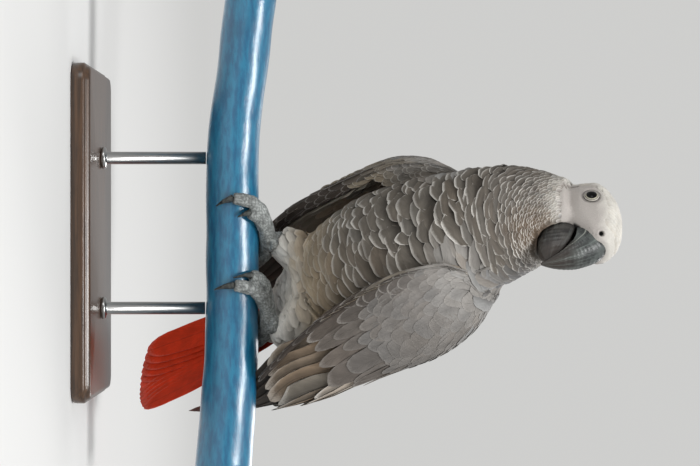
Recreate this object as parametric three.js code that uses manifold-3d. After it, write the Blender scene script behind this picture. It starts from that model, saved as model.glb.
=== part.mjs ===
// A life-size grey parrot that grips a short length of painted branch, held up by a plain display stand.
// Millimetres, +Z up. The origin is the centre of the underside of the stand's base. The branch runs along X.
// The bird faces -Y, turned towards -X, and looks back over its left shoulder towards +X.
import * as THREE from "three";
import { mergeVertices } from "three/addons/utils/BufferGeometryUtils.js";
import Module from "manifold-3d";

const wasm = await Module();
wasm.setup();

// Driving dimensions.
const GAP = 0.3; // clear space between neighbouring pieces
const RAD = Math.PI / 180;
const BASE = { width: 210, depth: 150, height: 12, corner: 12, bevel: 1.5 };
const ROD = { radius: 4, apart: 96 };
const BRANCH = { length: 300, height: 96 };
// Heights from here on are above the branch's axis at the middle of its length.
// The body's own frame has x to its left, y to its back and z to its head, from the middle of the trunk.
const BODY = { yaw: -42, lean: 31, x: 18, y: -3, z: 97.5 };
const HEAD = { yaw: 42, roll: -1.5, x: -10.7, y: -33.5, z: 228.5 }; // the middle of the line between the eyes
const EYE = { radius: 5.4, aside: 16.2, ahead: 3, above: -2.6 };
const TAIL = { from: -88, to: -206, feathers: 6, thickness: 4.5, lobe: 4, rounding: 10, arch: 5 };
const LAYER = { thickness: 1.6, apart: 1.5 }; // the layers of wing feathers
// The flesh is parted square to the trunk's axis, and square to the head's, at these heights.
const CUTS = { neckBase: 62, headBase: -23, reach: 160 };
// How square a section is: 1 is an ellipse, and less is squarer.
const SQUARENESS = { crown: 0.9, throat: 0.75, upperBill: 0.85, lowerBill: 0.65, wing: 2 / 3 };

// How finely each shape is faceted: steps along it and sides around it.
const FACETS = {
  trunk: { steps: 19, sides: 20 },
  skull: { steps: 13, sides: 18 },
  eye: { steps: 8, sides: 12 },
  upperBill: { steps: 12, sides: 14 },
  lowerBill: { steps: 8, sides: 14 },
  wing: { steps: 6 },
  tail: { steps: 6 },
  thigh: { steps: 7, sides: 14 },
  shank: { steps: 2, sides: 8 },
  toe: { steps: 6, sides: 7 },
  claw: { steps: 4, sides: 6 },
  branch: { steps: 12, sides: 18 },
  rod: { sides: 16 },
  corner: { steps: 2 },
};

const paint = (color, roughness, metalness = 0) => {
  return new THREE.MeshStandardMaterial({ color, roughness, metalness });
};
const finish = {
  bodyFeather: paint(0x8f8b88, 0.85),
  headFeather: paint(0xd6d3cf, 0.85),
  covert: paint(0xa09c9a, 0.8),
  flight: paint(0x857f7b, 0.75),
  primary: paint(0x57504c, 0.7),
  tail: paint(0xb3240f, 0.75),
  thigh: paint(0xb4b2af, 0.9),
  foot: paint(0x8b8a89, 0.8),
  claw: paint(0x1f1e1d, 0.4),
  bill: paint(0x3a3c3b, 0.45),
  eye: paint(0x0c0b0a, 0.08),
  branch: paint(0x1c5c94, 0.35),
  base: paint(0x3a332d, 0.5),
  rod: paint(0xa9a9a7, 0.3, 1),
};

// ---- Shapes ------------------------------------------------------------------------------------------

/** The value of `key` at `at` on a smooth curve through stations that are sorted by their `at`. */
function along(stations, key, at) {
  const last = stations.length - 1;
  let i = stations.findIndex((s) => s.at >= at);
  i = i < 0 ? last : Math.max(i, 1);
  const [s0, s1, s2, s3] = [Math.max(i - 2, 0), i - 1, i, Math.min(i + 1, last)].map((k) => stations[k]);
  const span = s2.at - s1.at;
  const t = THREE.MathUtils.clamp((at - s1.at) / span, 0, 1);
  const slope = (a, b) => (a === b ? 0 : ((b[key] - a[key]) / (b.at - a.at)) * span);
  const [m1, m2] = [slope(s0, s2), slope(s1, s3)];
  const [t2, t3] = [t * t, t * t * t];
  const values = (2 * t3 - 3 * t2 + 1) * s1[key] + (3 * t2 - 2 * t3) * s2[key];
  const slopes = (t3 - 2 * t2 + t) * m1 + (t3 - t2) * m2;
  return values + slopes;
}

const between = (from, to, steps) => {
  return Array.from({ length: steps + 1 }, (_, i) => from + ((to - from) * i) / steps);
};
const round = (sides) => between(0, 2 * Math.PI, sides).slice(0, -1);
const bent = (value, power) => Math.sign(value) * Math.abs(value) ** power;

/** A geometry from points and triangles, its faces turned outwards. */
function closed(points, triangles) {
  const volume = triangles.reduce((sum, [a, b, c]) => {
    return sum + points[a].dot(new THREE.Vector3().crossVectors(points[b], points[c]));
  }, 0);
  const index = triangles.flatMap(([a, b, c]) => (volume > 0 ? [a, b, c] : [a, c, b]));
  const geometry = new THREE.BufferGeometry().setFromPoints(points);
  return geometry.setIndex(index);
}

/** A closed skin over rings of points, each end drawn together at its ring's middle. */
function skinOver(rings) {
  const sides = rings[0].length;
  const points = rings.flat();
  const triangles = [];
  for (let i = 0; i + 1 < rings.length; i++) {
    for (let j = 0; j < sides; j++) {
      const [a, b] = [i * sides + j, i * sides + ((j + 1) % sides)];
      triangles.push([a, b, b + sides], [a, b + sides, a + sides]);
    }
  }
  for (const [ring, start] of [[rings[0], 0], [rings.at(-1), (rings.length - 1) * sides]]) {
    const middle = ring.reduce((sum, p) => sum.add(p), new THREE.Vector3()).divideScalar(sides);
    const tip = points.push(middle) - 1;
    for (let j = 0; j < sides; j++) {
      const [a, b] = [start + j, start + ((j + 1) % sides)];
      triangles.push(start ? [a, b, tip] : [b, a, tip]);
    }
  }
  return closed(points, triangles);
}

/** A closed plate between two grids of points, an outer and an inner one. */
function plate(outer, inner) {
  const [bottom, right] = [outer.length - 1, outer[0].length - 1];
  const points = [...outer.flat(), ...inner.flat()];
  const at = (side, i, j) => (side * (bottom + 1) + i) * (right + 1) + j;
  const triangles = [];
  const face = (a, b, c, d) => triangles.push([a, b, c], [a, c, d]);
  for (let i = 0; i < bottom; i++) {
    for (let j = 0; j < right; j++) {
      face(at(0, i, j), at(0, i, j + 1), at(0, i + 1, j + 1), at(0, i + 1, j));
      face(at(1, i, j), at(1, i + 1, j), at(1, i + 1, j + 1), at(1, i, j + 1));
    }
    face(at(0, i, 0), at(0, i + 1, 0), at(1, i + 1, 0), at(1, i, 0));
    face(at(0, i + 1, right), at(0, i, right), at(1, i, right), at(1, i + 1, right));
  }
  for (let j = 0; j < right; j++) {
    face(at(0, 0, j + 1), at(0, 0, j), at(1, 0, j), at(1, 0, j + 1));
    face(at(0, bottom, j), at(0, bottom, j + 1), at(1, bottom, j + 1), at(1, bottom, j));
  }
  return closed(points, triangles);
}

/** A round limb along a curve. radius(t) gives its radius, with t from 0 to 1 along it. */
function limb(curve, radius, { steps, sides }) {
  const across = new THREE.Vector3(1, 0, 0);
  const rings = between(0, 1, steps).map((t) => {
    const tangent = curve.getTangent(t);
    const up = new THREE.Vector3().crossVectors(tangent, across).normalize();
    const side = new THREE.Vector3().crossVectors(up, tangent).normalize();
    const [x, y] = [side, up].map((axis) => axis.multiplyScalar(radius(t)));
    return round(sides).map((a) => {
      return curve.getPoint(t).addScaledVector(x, Math.cos(a)).addScaledVector(y, Math.sin(a));
    });
  });
  return skinOver(rings);
}

// ---- Joining and cutting -----------------------------------------------------------------------------

function solidOf(geometry) {
  const bare = geometry.clone();
  for (const name of ["normal", "uv"]) bare.deleteAttribute(name);
  const merged = mergeVertices(bare, 1e-4);
  const mesh = new wasm.Mesh({
    numProp: 3,
    vertProperties: merged.attributes.position.array,
    triVerts: new Uint32Array(merged.index.array),
  });
  return new wasm.Manifold(mesh);
}

function geometryOf(solid) {
  const mesh = solid.getMesh();
  return new THREE.BufferGeometry()
    .setAttribute("position", new THREE.BufferAttribute(mesh.vertProperties, 3))
    .setIndex(new THREE.BufferAttribute(mesh.triVerts, 1));
}

/** A group placed in its parent, and turned in degrees: lean about X, then roll about Y, then yaw about Z. */
function frameIn(parent, { x = 0, y = 0, z = 0, yaw = 0, roll = 0, lean = 0 }) {
  const group = new THREE.Group();
  group.position.set(x, y, z);
  group.rotation.set(lean * RAD, roll * RAD, yaw * RAD, "ZYX");
  parent.add(group);
  parent.updateMatrixWorld(true);
  return group;
}

/** A geometry made in a frame, as a solid in the part's own frame. */
const placed = (geometry, frame) => solidOf(geometry.clone().applyMatrix4(frame.matrixWorld));

/** The largest body of a solid: cuts can leave slivers beside it. */
const main = (solid) => solid.decompose().sort((a, b) => b.volume() - a.volume())[0];

const parrot = new THREE.Group();
const stand = frameIn(parrot, {});
const perched = frameIn(parrot, { z: BRANCH.height });
const body = frameIn(perched, BODY);
const head = frameIn(perched, HEAD);

/** Adds a solid that is given in the part's own frame to a frame, as a named mesh. */
function add(name, solid, material, frame) {
  const inverse = frame.matrixWorld.clone().invert();
  const mesh = new THREE.Mesh(geometryOf(solid).applyMatrix4(inverse), material);
  mesh.name = name;
  frame.add(mesh);
}

// ---- Trunk and neck ----------------------------------------------------------------------------------

// Sections square to the trunk's axis: half width, depth to the belly and to the back, and how far back and
// to the left they sit. The neck sways to the right, because the head looks back over the left shoulder.
const TRUNK = [
  { at: -104, half: 10, belly: 4, back: 4, shift: 15, sway: 0 },
  { at: -92, half: 18, belly: 9, back: 9, shift: 12, sway: 0 },
  { at: -69, half: 29, belly: 21, back: 18, shift: 6, sway: 0 },
  { at: -35, half: 40, belly: 36, back: 30, shift: 2, sway: 0 },
  { at: -3, half: 46, belly: 43, back: 37, shift: 1, sway: 0 },
  { at: 27, half: 48, belly: 44, back: 38, shift: 3, sway: 0 },
  { at: 53, half: 44, belly: 40, back: 36, shift: 5, sway: 0 },
  { at: 72, half: 40, belly: 37, back: 34, shift: 7, sway: -2 },
  { at: 90, half: 37.5, belly: 31, back: 33, shift: 9.5, sway: -3 },
  { at: 106, half: 30, belly: 23, back: 31, shift: 10.5, sway: -4 },
  { at: 118, half: 23, belly: 18, back: 26, shift: 12, sway: -3.5 },
  { at: 128, half: 17, belly: 14, back: 19, shift: 15, sway: -2.5 },
];

function trunkShape(grow = 0) {
  const ends = [TRUNK[0].at - grow, TRUNK.at(-1).at + grow];
  const rings = between(...ends, FACETS.trunk.steps).map((z) => {
    const [half, belly, back, shift, sway] = ["half", "belly", "back", "shift", "sway"].map((key) => {
      return along(TRUNK, key, z);
    });
    return round(FACETS.trunk.sides).map((a) => {
      const depth = Math.sin(a) < 0 ? belly : back;
      return new THREE.Vector3(sway + (half + grow) * Math.cos(a), shift + (depth + grow) * Math.sin(a), z);
    });
  });
  return skinOver(rings);
}

// ---- Head --------------------------------------------------------------------------------------------

// Sections across the head from nape to bill: half width, height of the crown and depth of the throat.
const SKULL = [
  { at: -19.5, half: 8.5, crown: 1.5, throat: 12 },
  { at: -16.5, half: 13.5, crown: 6.5, throat: 18 },
  { at: -11, half: 17.3, crown: 10.8, throat: 23 },
  { at: -3, half: 19.4, crown: 14.8, throat: 26 },
  { at: 6, half: 19.8, crown: 16.7, throat: 25 },
  { at: 14, half: 19, crown: 16.6, throat: 22.5 },
  { at: 19, half: 18, crown: 15.9, throat: 17.5 },
  { at: 24, half: 16.6, crown: 14.6, throat: 11.5 },
  { at: 29, half: 14.4, crown: 12, throat: 7 },
  { at: 33, half: 10, crown: 7, throat: 3.5 },
];

function skullShape(grow = 0) {
  const rings = between(SKULL[0].at - grow, SKULL.at(-1).at + grow, FACETS.skull.steps).map((y) => {
    const [half, crown, throat] = ["half", "crown", "throat"].map((key) => along(SKULL, key, y));
    return round(FACETS.skull.sides).map((a) => {
      const squareness = Math.sin(a) > 0 ? SQUARENESS.crown : SQUARENESS.throat;
      const [c, s] = [Math.cos(a), Math.sin(a)].map((value) => bent(value, squareness));
      return new THREE.Vector3((half + grow) * c, -y, ((s > 0 ? crown : throat) + grow) * s);
    });
  });
  return skinOver(rings);
}

function eyeBall(side, grow = 0) {
  const ball = new THREE.SphereGeometry(EYE.radius + grow, FACETS.eye.sides, FACETS.eye.steps);
  return ball.translate(side * EYE.aside, -EYE.ahead, EYE.above);
}

// The upper bill turns about a point in the mouth: angle from straight up, outer and inner reach, half width.
const HOOK = { ahead: 25, above: -17.5 };
const RIDGE = 0.28; // the share by which the bill's ridge is narrower, and its cutting edges wider
const UPPER_BILL = [
  { at: -42, outer: 19.5, inner: 6.5, half: 9.8 },
  { at: -10, outer: 22.5, inner: 4.8, half: 10.6 },
  { at: 12, outer: 24.3, inner: 4.4, half: 10.7 },
  { at: 54, outer: 19.2, inner: 5.6, half: 10 },
  { at: 91, outer: 19, inner: 9, half: 8.4 },
  { at: 105, outer: 20.6, inner: 11.5, half: 6.9 },
  { at: 116, outer: 22.4, inner: 15.5, half: 5.2 },
  { at: 126, outer: 24.4, inner: 20.4, half: 3.2 },
  { at: 134, outer: 26.4, inner: 25, half: 1.1 },
];

function upperBill(grow = 0) {
  const rings = between(UPPER_BILL[0].at, UPPER_BILL.at(-1).at, FACETS.upperBill.steps).map((angle) => {
    const [outer, inner, half] = ["outer", "inner", "half"].map((key) => along(UPPER_BILL, key, angle));
    const [middle, deep] = [(outer + inner) / 2, (outer - inner) / 2 + grow];
    const [s, c] = [Math.sin(angle * RAD), Math.cos(angle * RAD)];
    return round(FACETS.upperBill.sides).map((a) => {
      const [across, out] = [Math.sin(a), Math.cos(a)].map((value) => bent(value, SQUARENESS.upperBill));
      const reach = middle + deep * out;
      const aside = (half * (1 - RIDGE * out) + grow) * across;
      return new THREE.Vector3(aside, -(HOOK.ahead + reach * s), HOOK.above + reach * c);
    });
  });
  return skinOver(rings);
}

// Sections across the lower bill, going forward: half width, height of its upper rim and of its keel.
const LOWER_BILL = [
  { at: 12, half: 8.5, rim: -13, keel: -31 },
  { at: 18, half: 10.8, rim: -13.3, keel: -35 },
  { at: 24, half: 11, rim: -14.5, keel: -36.5 },
  { at: 30, half: 10, rim: -17, keel: -37 },
  { at: 35, half: 8, rim: -20.5, keel: -36.5 },
  { at: 39, half: 5, rim: -25, keel: -34.5 },
  { at: 41.5, half: 2.5, rim: -28, keel: -32.5 },
];

function lowerBill(grow = 0) {
  const ends = [LOWER_BILL[0].at - grow, LOWER_BILL.at(-1).at + grow];
  const rings = between(...ends, FACETS.lowerBill.steps).map((ahead) => {
    const [half, rim, keel] = ["half", "rim", "keel"].map((key) => along(LOWER_BILL, key, ahead));
    return round(FACETS.lowerBill.sides).map((a) => {
      const [c, s] = [Math.cos(a), Math.sin(a)].map((value) => bent(value, SQUARENESS.lowerBill));
      const height = (rim + keel) / 2 + ((rim - keel) / 2 + grow) * s;
      return new THREE.Vector3((half + grow) * c, -ahead, height);
    });
  });
  return skinOver(rings);
}

// ---- Wings and tail ----------------------------------------------------------------------------------

// Sections of the folded wing, square to the trunk's axis: reach to the side, depth to front and back, how
// far back they sit, and the angles from straight out to the side at which its front and back edges lie.
const WING = [
  { at: -185, reach: 39, deep: 14, shift: 25, front: -5, back: 42 },
  { at: -145, reach: 52, deep: 22, shift: 21, front: 4, back: 66 },
  { at: -110, reach: 63, deep: 30, shift: 17, front: 18, back: 78 },
  { at: -80, reach: 69, deep: 37, shift: 12, front: 32, back: 84 },
  { at: -55, reach: 71, deep: 41, shift: 9, front: 42, back: 87 },
  { at: -20, reach: 70, deep: 44, shift: 6, front: 50, back: 88 },
  { at: 20, reach: 69, deep: 46, shift: 5, front: 54, back: 88 },
  { at: 42, reach: 61, deep: 42, shift: 6, front: 50, back: 86 },
  { at: 55, reach: 50, deep: 37, shift: 7, front: 38, back: 80 },
  { at: 64, reach: 40, deep: 31, shift: 9, front: 12, back: 60 },
];

/** A point of a side's wing, inset from its outer surface, at a share of the way from front to back edge. */
function wingPoint(side, at, share, inset) {
  const [reach, deep, shift, front, back] = ["reach", "deep", "shift", "front", "back"].map((key) => {
    return along(WING, key, at);
  });
  const angle = (-front + (front + back) * share) * RAD;
  const [c, s] = [Math.cos(angle), Math.sin(angle)].map((value) => bent(value, SQUARENESS.wing));
  return new THREE.Vector3(side * (reach - inset) * c, shift + (deep - inset) * s, at);
}

// Layers of the wing from the outside in: where each starts and ends along the trunk, at its front and back
// edges, the share of the wing that it spans, and how many feather tips its end shows.
const WING_LAYERS = [
  {
    name: "coverts", material: "covert", depth: 0,
    from: 64, front: -30, back: -62, first: 0, last: 1, tips: 5, lobe: 12,
  },
  {
    name: "secondaries", material: "flight", depth: 1,
    from: 30, front: -78, back: -118, first: 0.12, last: 1, tips: 5, lobe: 13,
  },
  {
    name: "primaries", material: "primary", depth: 2,
    from: -10, front: -128, back: -178, first: 0.02, last: 0.86, tips: 5, lobe: 15,
  },
];

function wingLayer(side, layer) {
  const columns = layer.tips * 2;
  const inset = layer.depth * (LAYER.thickness + LAYER.apart);
  const point = (depth, down, across) => {
    const share = THREE.MathUtils.lerp(layer.first, layer.last, across);
    const lobe = layer.lobe * Math.abs(Math.sin((across * columns * Math.PI) / 2)) * down;
    const end = THREE.MathUtils.lerp(layer.front, layer.back, across) - lobe + layer.lobe / 2;
    return wingPoint(side, THREE.MathUtils.lerp(layer.from, end, down), share, depth);
  };
  const grid = (depth) => between(0, 1, FACETS.wing.steps).map((down) => {
    return between(0, 1, columns).map((across) => point(depth, down, across));
  });
  return plate(grid(inset), grid(inset + LAYER.thickness));
}

// Sections of the tail: half width and how far back it sits.
const TAIL_SHAPE = [
  { at: -210, half: 34, shift: 20 },
  { at: -160, half: 28, shift: 18 },
  { at: -120, half: 22, shift: 15 },
  { at: -88, half: 14, shift: 12 },
];

function tailShape(grow = 0) {
  const columns = TAIL.feathers * 2;
  const point = (side, down, across) => {
    const lobe = TAIL.lobe * Math.abs(Math.sin((across * TAIL.feathers * Math.PI) / 2)) * down;
    const shorter = TAIL.rounding * across * across * down; // the outer feathers are shorter
    const at = THREE.MathUtils.lerp(TAIL.from, TAIL.to, down) + shorter - lobe;
    const arch = TAIL.arch * (1 - across * across);
    const aside = across * (along(TAIL_SHAPE, "half", at) + grow);
    const behind = along(TAIL_SHAPE, "shift", at) + arch + side * (TAIL.thickness / 2 + grow);
    return new THREE.Vector3(aside, behind, at);
  };
  const grid = (side) => between(0, 1, FACETS.tail.steps).map((down) => {
    return between(-1, 1, columns).map((across) => point(side, down, across));
  });
  return plate(grid(1), grid(-1));
}

// ---- Legs --------------------------------------------------------------------------------------------

// Each leg: the points that its thigh and shank pass through, square to the branch's middle.
// Toes run round the branch: angle from its top, positive to the front, and x. The last two are the claw's.
const LEGS = [
  {
    name: "right",
    thigh: [[27, 4, 58], [13, 6, 43], [5, 8, 30]],
    shank: [[5, 6, 36], [6, 0, 23]],
    toes: {
      outer_front: [[-12, 8], [6, 0], [25, -10], [45, -18.5], [68, -21], [86, -22], [103, -20], [122, -17]],
      inner_front: [[-10, 8], [10, 0], [28, -7], [44, -11], [57, -12.5], [66, -12], [78, -10]],
      outer_back: [[-14, 8], [-45, 4], [-80, 0], [-108, -2], [-120, -1.5], [-140, 1]],
      inner_back: [[-14, 9], [-42, 17], [-72, 23], [-92, 25], [-104, 25], [-122, 23]],
    },
  },
  {
    name: "left",
    thigh: [[46, -6, 58], [59, 3, 43], [68, 11, 30]],
    shank: [[64, 8, 36], [57, -1, 23]],
    toes: {
      outer_front: [[-12, 60], [2, 52], [18, 45], [43, 37], [66, 34], [84, 33], [103, 34], [126, 36]],
      inner_front: [[-10, 58], [6, 44], [22, 33.5], [42, 28], [53, 27], [64, 26.6], [86, 28.5]],
      outer_back: [[-14, 61], [-42, 69], [-74, 74], [-98, 77], [-110, 77], [-128, 75]],
      inner_back: [[-14, 60], [-45, 55], [-76, 51], [-96, 50], [-108, 50.5], [-126, 53]],
    },
  },
];
const THIGH = { top: 19, bottom: 10.5 }; // radii
const SHANK = { radius: 6.4 };
const TOE = { root: 5.4, end: 3.7, pad: 0.4, joints: 3 };
const CLAW = { root: 2.7, point: 0.4, rests: 1 };

/** A point outside the branch's surface, at an angle from its top and an x. */
function overBranch([angle, x], height) {
  const reach = branchRadius(x) + GAP + height;
  const turn = angle * RAD;
  return new THREE.Vector3(x, -reach * Math.sin(turn), branchRise(x) + reach * Math.cos(turn));
}

const curveThrough = (points) => new THREE.CatmullRomCurve3(points, false, "centripetal");

/** A toe tapers as it goes, and lies on the branch all the way. */
function toeShape(route, grow = 0) {
  const stops = route.slice(0, -2);
  const thick = (t) => THREE.MathUtils.lerp(TOE.root, TOE.end, t);
  const curve = curveThrough(stops.map((stop, i) => overBranch(stop, thick(i / (stops.length - 1)))));
  const pad = (t) => TOE.pad * Math.abs(Math.sin(t * TOE.joints * Math.PI)); // each joint swells the toe
  return limb(curve, (t) => thick(t) + pad(t) + grow, FACETS.toe);
}

function clawShape(route) {
  const heights = [TOE.end, TOE.end, CLAW.rests];
  const curve = curveThrough(route.slice(-3).map((stop, i) => overBranch(stop, heights[i])));
  return limb(curve, (t) => THREE.MathUtils.lerp(CLAW.root, CLAW.point, t), FACETS.claw);
}

const legCurve = (points) => curveThrough(points.map((p) => new THREE.Vector3(...p)));

function thighShape(leg, grow = 0) {
  const radius = (t) => THREE.MathUtils.lerp(THIGH.top, THIGH.bottom, t) + grow;
  return limb(legCurve(leg.thigh), radius, FACETS.thigh);
}

const shankShape = (leg) => limb(legCurve(leg.shank), () => SHANK.radius, FACETS.shank);

// ---- Branch and stand --------------------------------------------------------------------------------

// The branch's rise from the height of its middle, and its radius, along X.
const BRANCH_SHAPE = [
  { at: -150, rise: 11.6, radius: 16.8 },
  { at: -100, rise: 5.6, radius: 16.6 },
  { at: -62, rise: 0.8, radius: 17 },
  { at: 0, rise: 0, radius: 17.2 },
  { at: 62, rise: -0.4, radius: 17.3 },
  { at: 100, rise: -2, radius: 17.9 },
  { at: 150, rise: -5.9, radius: 18.6 },
];
const branchRadius = (x) => along(BRANCH_SHAPE, "radius", x);
const branchRise = (x) => along(BRANCH_SHAPE, "rise", x);

function branchShape(grow = 0) {
  const half = BRANCH.length / 2 + grow;
  const rings = between(-half, half, FACETS.branch.steps).map((x) => {
    const reach = branchRadius(x) + grow;
    return round(FACETS.branch.sides).map((a) => {
      return new THREE.Vector3(x, reach * Math.cos(a), branchRise(x) + reach * Math.sin(a));
    });
  });
  return skinOver(rings);
}

function baseShape() {
  const { width, depth, height, corner, bevel } = BASE;
  const [w, d, r] = [width / 2 - bevel, depth / 2 - bevel, corner];
  const outline = new THREE.Shape();
  outline.moveTo(-w + r, -d);
  outline.lineTo(w - r, -d);
  outline.absarc(w - r, -d + r, r, -Math.PI / 2, 0, false);
  outline.lineTo(w, d - r);
  outline.absarc(w - r, d - r, r, 0, Math.PI / 2, false);
  outline.lineTo(-w + r, d);
  outline.absarc(-w + r, d - r, r, Math.PI / 2, Math.PI, false);
  outline.lineTo(-w, -d + r);
  outline.absarc(-w + r, -d + r, r, Math.PI, 1.5 * Math.PI, false);
  const settings = { depth: height - 2 * bevel, bevelThickness: bevel, bevelSize: bevel, bevelSegments: 2 };
  const board = new THREE.ExtrudeGeometry(outline, { ...settings, curveSegments: FACETS.corner.steps });
  return board.translate(0, 0, bevel);
}

function rodShape(x) {
  const top = BRANCH.height + branchRise(x);
  const length = top - BASE.height - GAP;
  const rod = new THREE.CylinderGeometry(ROD.radius, ROD.radius, length, FACETS.rod.sides);
  return rod.rotateX(Math.PI / 2).translate(x, 0, BASE.height + GAP + length / 2);
}

// ---- Putting it together -----------------------------------------------------------------------------

const branch = placed(branchShape(), perched);
const branchRoom = placed(branchShape(GAP), perched);
const trunkRoom = placed(trunkShape(GAP), body);
const tailRoom = placed(tailShape(GAP), body);
const cut = (solid, rooms) => main(rooms.reduce((rest, room) => rest.subtract(room), solid));

// The bill and the eyes are sunk into the head.
const skullRoom = placed(skullShape(GAP), head);
const [upperRoom, lowerRoom] = [upperBill(GAP), lowerBill(GAP)].map((geometry) => placed(geometry, head));
const upper = cut(placed(upperBill(), head), [skullRoom]);
const lower = cut(placed(lowerBill(), head), [skullRoom, upperRoom]);
const sockets = [-1, 1].map((side) => placed(eyeBall(side, GAP), head));

// The flesh is one solid, parted by thin flat cuts at the neck's base and under the head.
const cutAcross = (frame, height) => {
  const slab = new THREE.BoxGeometry(CUTS.reach, CUTS.reach, GAP);
  return placed(slab.translate(0, 0, height), frame);
};
const [trunk, neck, skull] = cut(placed(trunkShape(), body), [upperRoom, lowerRoom])
  .add(placed(skullShape(), head))
  .subtract(cutAcross(body, CUTS.neckBase))
  .subtract(cutAcross(head, CUTS.headBase))
  .decompose()
  .sort((a, b) => b.volume() - a.volume());
add("trunk", trunk, finish.bodyFeather, body);
add("neck", neck, finish.bodyFeather, body);
add("head", cut(skull, sockets), finish.headFeather, head);
add("bill_upper", upper, finish.bill, head);
add("bill_lower", lower, finish.bill, head);
add("eye_right", placed(eyeBall(-1), head), finish.eye, head);
add("eye_left", placed(eyeBall(1), head), finish.eye, head);
add("tail", cut(placed(tailShape(), body), [trunkRoom, branchRoom]), finish.tail, body);

const legRooms = [];
for (const leg of LEGS) {
  const toes = Object.entries(leg.toes);
  const thighRoom = placed(thighShape(leg, GAP), perched);
  const thigh = cut(placed(thighShape(leg), perched), [trunkRoom, branchRoom, tailRoom]);
  const shank = placed(shankShape(leg), perched);
  const foot = toes.reduce((solid, [, route]) => solid.add(placed(toeShape(route), perched)), shank);
  add(`thigh_${leg.name}`, thigh, finish.thigh, perched);
  add(`foot_${leg.name}`, cut(foot, [branchRoom, thighRoom, trunkRoom]), finish.foot, perched);
  for (const [toe, route] of toes) {
    const toeRoom = placed(toeShape(route, GAP), perched);
    const claw = cut(placed(clawShape(route), perched), [branchRoom, toeRoom]);
    add(`claw_${leg.name}_${toe}`, claw, finish.claw, perched);
  }
  legRooms.push(thighRoom);
}

const SIDES = [[-1, "right"], [1, "left"]];
const wingRooms = [trunkRoom, tailRoom, branchRoom, ...legRooms];
for (const [side, name] of SIDES) {
  for (const layer of WING_LAYERS) {
    const feathers = cut(placed(wingLayer(side, layer), body), wingRooms);
    add(`wing_${name}_${layer.name}`, feathers, finish[layer.material], body);
  }
}

add("perch", branch, finish.branch, stand);
add("stand_base", placed(baseShape(), stand), finish.base, stand);
for (const [side, name] of SIDES) {
  const rod = placed(rodShape((side * ROD.apart) / 2), stand);
  add(`stand_rod_${name}`, cut(rod, [branchRoom]), finish.rod, stand);
}

export default parrot;
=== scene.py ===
"""A life-size grey parrot that grips a short length of painted branch, held up by a plain display stand.

The row frame has X along the branch, the bird's breast towards -Y, Z up and the stand's underside at 0.
Sizes are in millimetres and degrees, and `built` turns them into metres.
"""

import math

import bmesh
import bpy
import numpy as np
from mathutils import Euler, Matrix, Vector
from mathutils.bvhtree import BVHTree
from mathutils.kdtree import KDTree


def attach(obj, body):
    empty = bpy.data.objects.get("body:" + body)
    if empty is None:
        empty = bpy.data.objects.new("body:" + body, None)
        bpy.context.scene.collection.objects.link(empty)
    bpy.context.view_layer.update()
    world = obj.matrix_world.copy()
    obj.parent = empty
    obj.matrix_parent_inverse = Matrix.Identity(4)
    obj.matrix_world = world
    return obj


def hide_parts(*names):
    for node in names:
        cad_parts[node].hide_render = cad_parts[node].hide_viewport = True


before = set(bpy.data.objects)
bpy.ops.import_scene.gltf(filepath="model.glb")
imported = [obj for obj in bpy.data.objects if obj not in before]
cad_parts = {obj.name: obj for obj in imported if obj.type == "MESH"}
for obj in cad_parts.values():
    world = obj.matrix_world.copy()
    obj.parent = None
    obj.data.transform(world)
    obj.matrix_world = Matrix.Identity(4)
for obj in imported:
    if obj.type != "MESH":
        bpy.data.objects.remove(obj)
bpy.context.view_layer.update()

MM = 0.001
RNG = np.random.default_rng(20)


# ---- Numbers and frames ----


def smooth(value, low, high):
    """0 up to `low` and 1 from `high` on, with a soft start and end; `low` may be the larger of the two."""
    t = np.clip((np.asarray(value, float) - low) / (high - low), 0, 1)
    return t * t * (3 - 2 * t)


def mixed(a, b, share):
    return a + (b - a) * share


def blended(a, b, share):
    """As mixed(), for points or colours that have a share each."""
    return mixed(a, b, np.asarray(share)[..., None])


def axes(values):
    """The columns of an array of points or the like, one by one."""
    return np.moveaxis(values, -1, 0)


def bent(value, power):
    return np.sign(value) * np.abs(value) ** power


def unit(vectors):
    return vectors / np.maximum(np.linalg.norm(vectors, axis=-1, keepdims=True), 1e-9)


def dot(a, b):
    return (a * b).sum(-1)


def angles(count):
    """Equal steps once round a circle."""
    return np.linspace(0, 2 * math.pi, count, endpoint=False)


def each(values):
    """A value for each vane, or one for all, shaped to work on every point of their grids."""
    return np.asarray(values, float)[..., None, None]


def along(stations, at):
    """The columns after the first, at places along the first, on smooth curves through the stations."""
    table = np.asarray(stations, float)
    x, y = table[:, 0], table[:, 1:]
    slope = np.empty_like(y)
    slope[1:-1] = (y[2:] - y[:-2]) / (x[2:] - x[:-2])[:, None]
    slope[0] = (y[1] - y[0]) / (x[1] - x[0])
    slope[-1] = (y[-1] - y[-2]) / (x[-1] - x[-2])
    at = np.asarray(at, float)
    i = np.clip(np.searchsorted(x, at, side="right") - 1, 0, len(x) - 2)
    span = (x[i + 1] - x[i])[..., None]
    t = np.clip((at - x[i])[..., None] / span, 0, 1)
    t2, t3 = t * t, t * t * t
    values = (2 * t3 - 3 * t2 + 1) * y[i] + (3 * t2 - 2 * t3) * y[i + 1]
    return values + span * ((t3 - 2 * t2 + t) * slope[i] + (t3 - t2) * slope[i + 1])


def rgb(code):
    """A colour written as sRGB hex, as linear numbers."""
    c = np.array([int(code[i : i + 2], 16) for i in (0, 2, 4)]) / 255
    return np.where(c <= 0.04045, c / 12.92, ((c + 0.055) / 1.055) ** 2.4)


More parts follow.
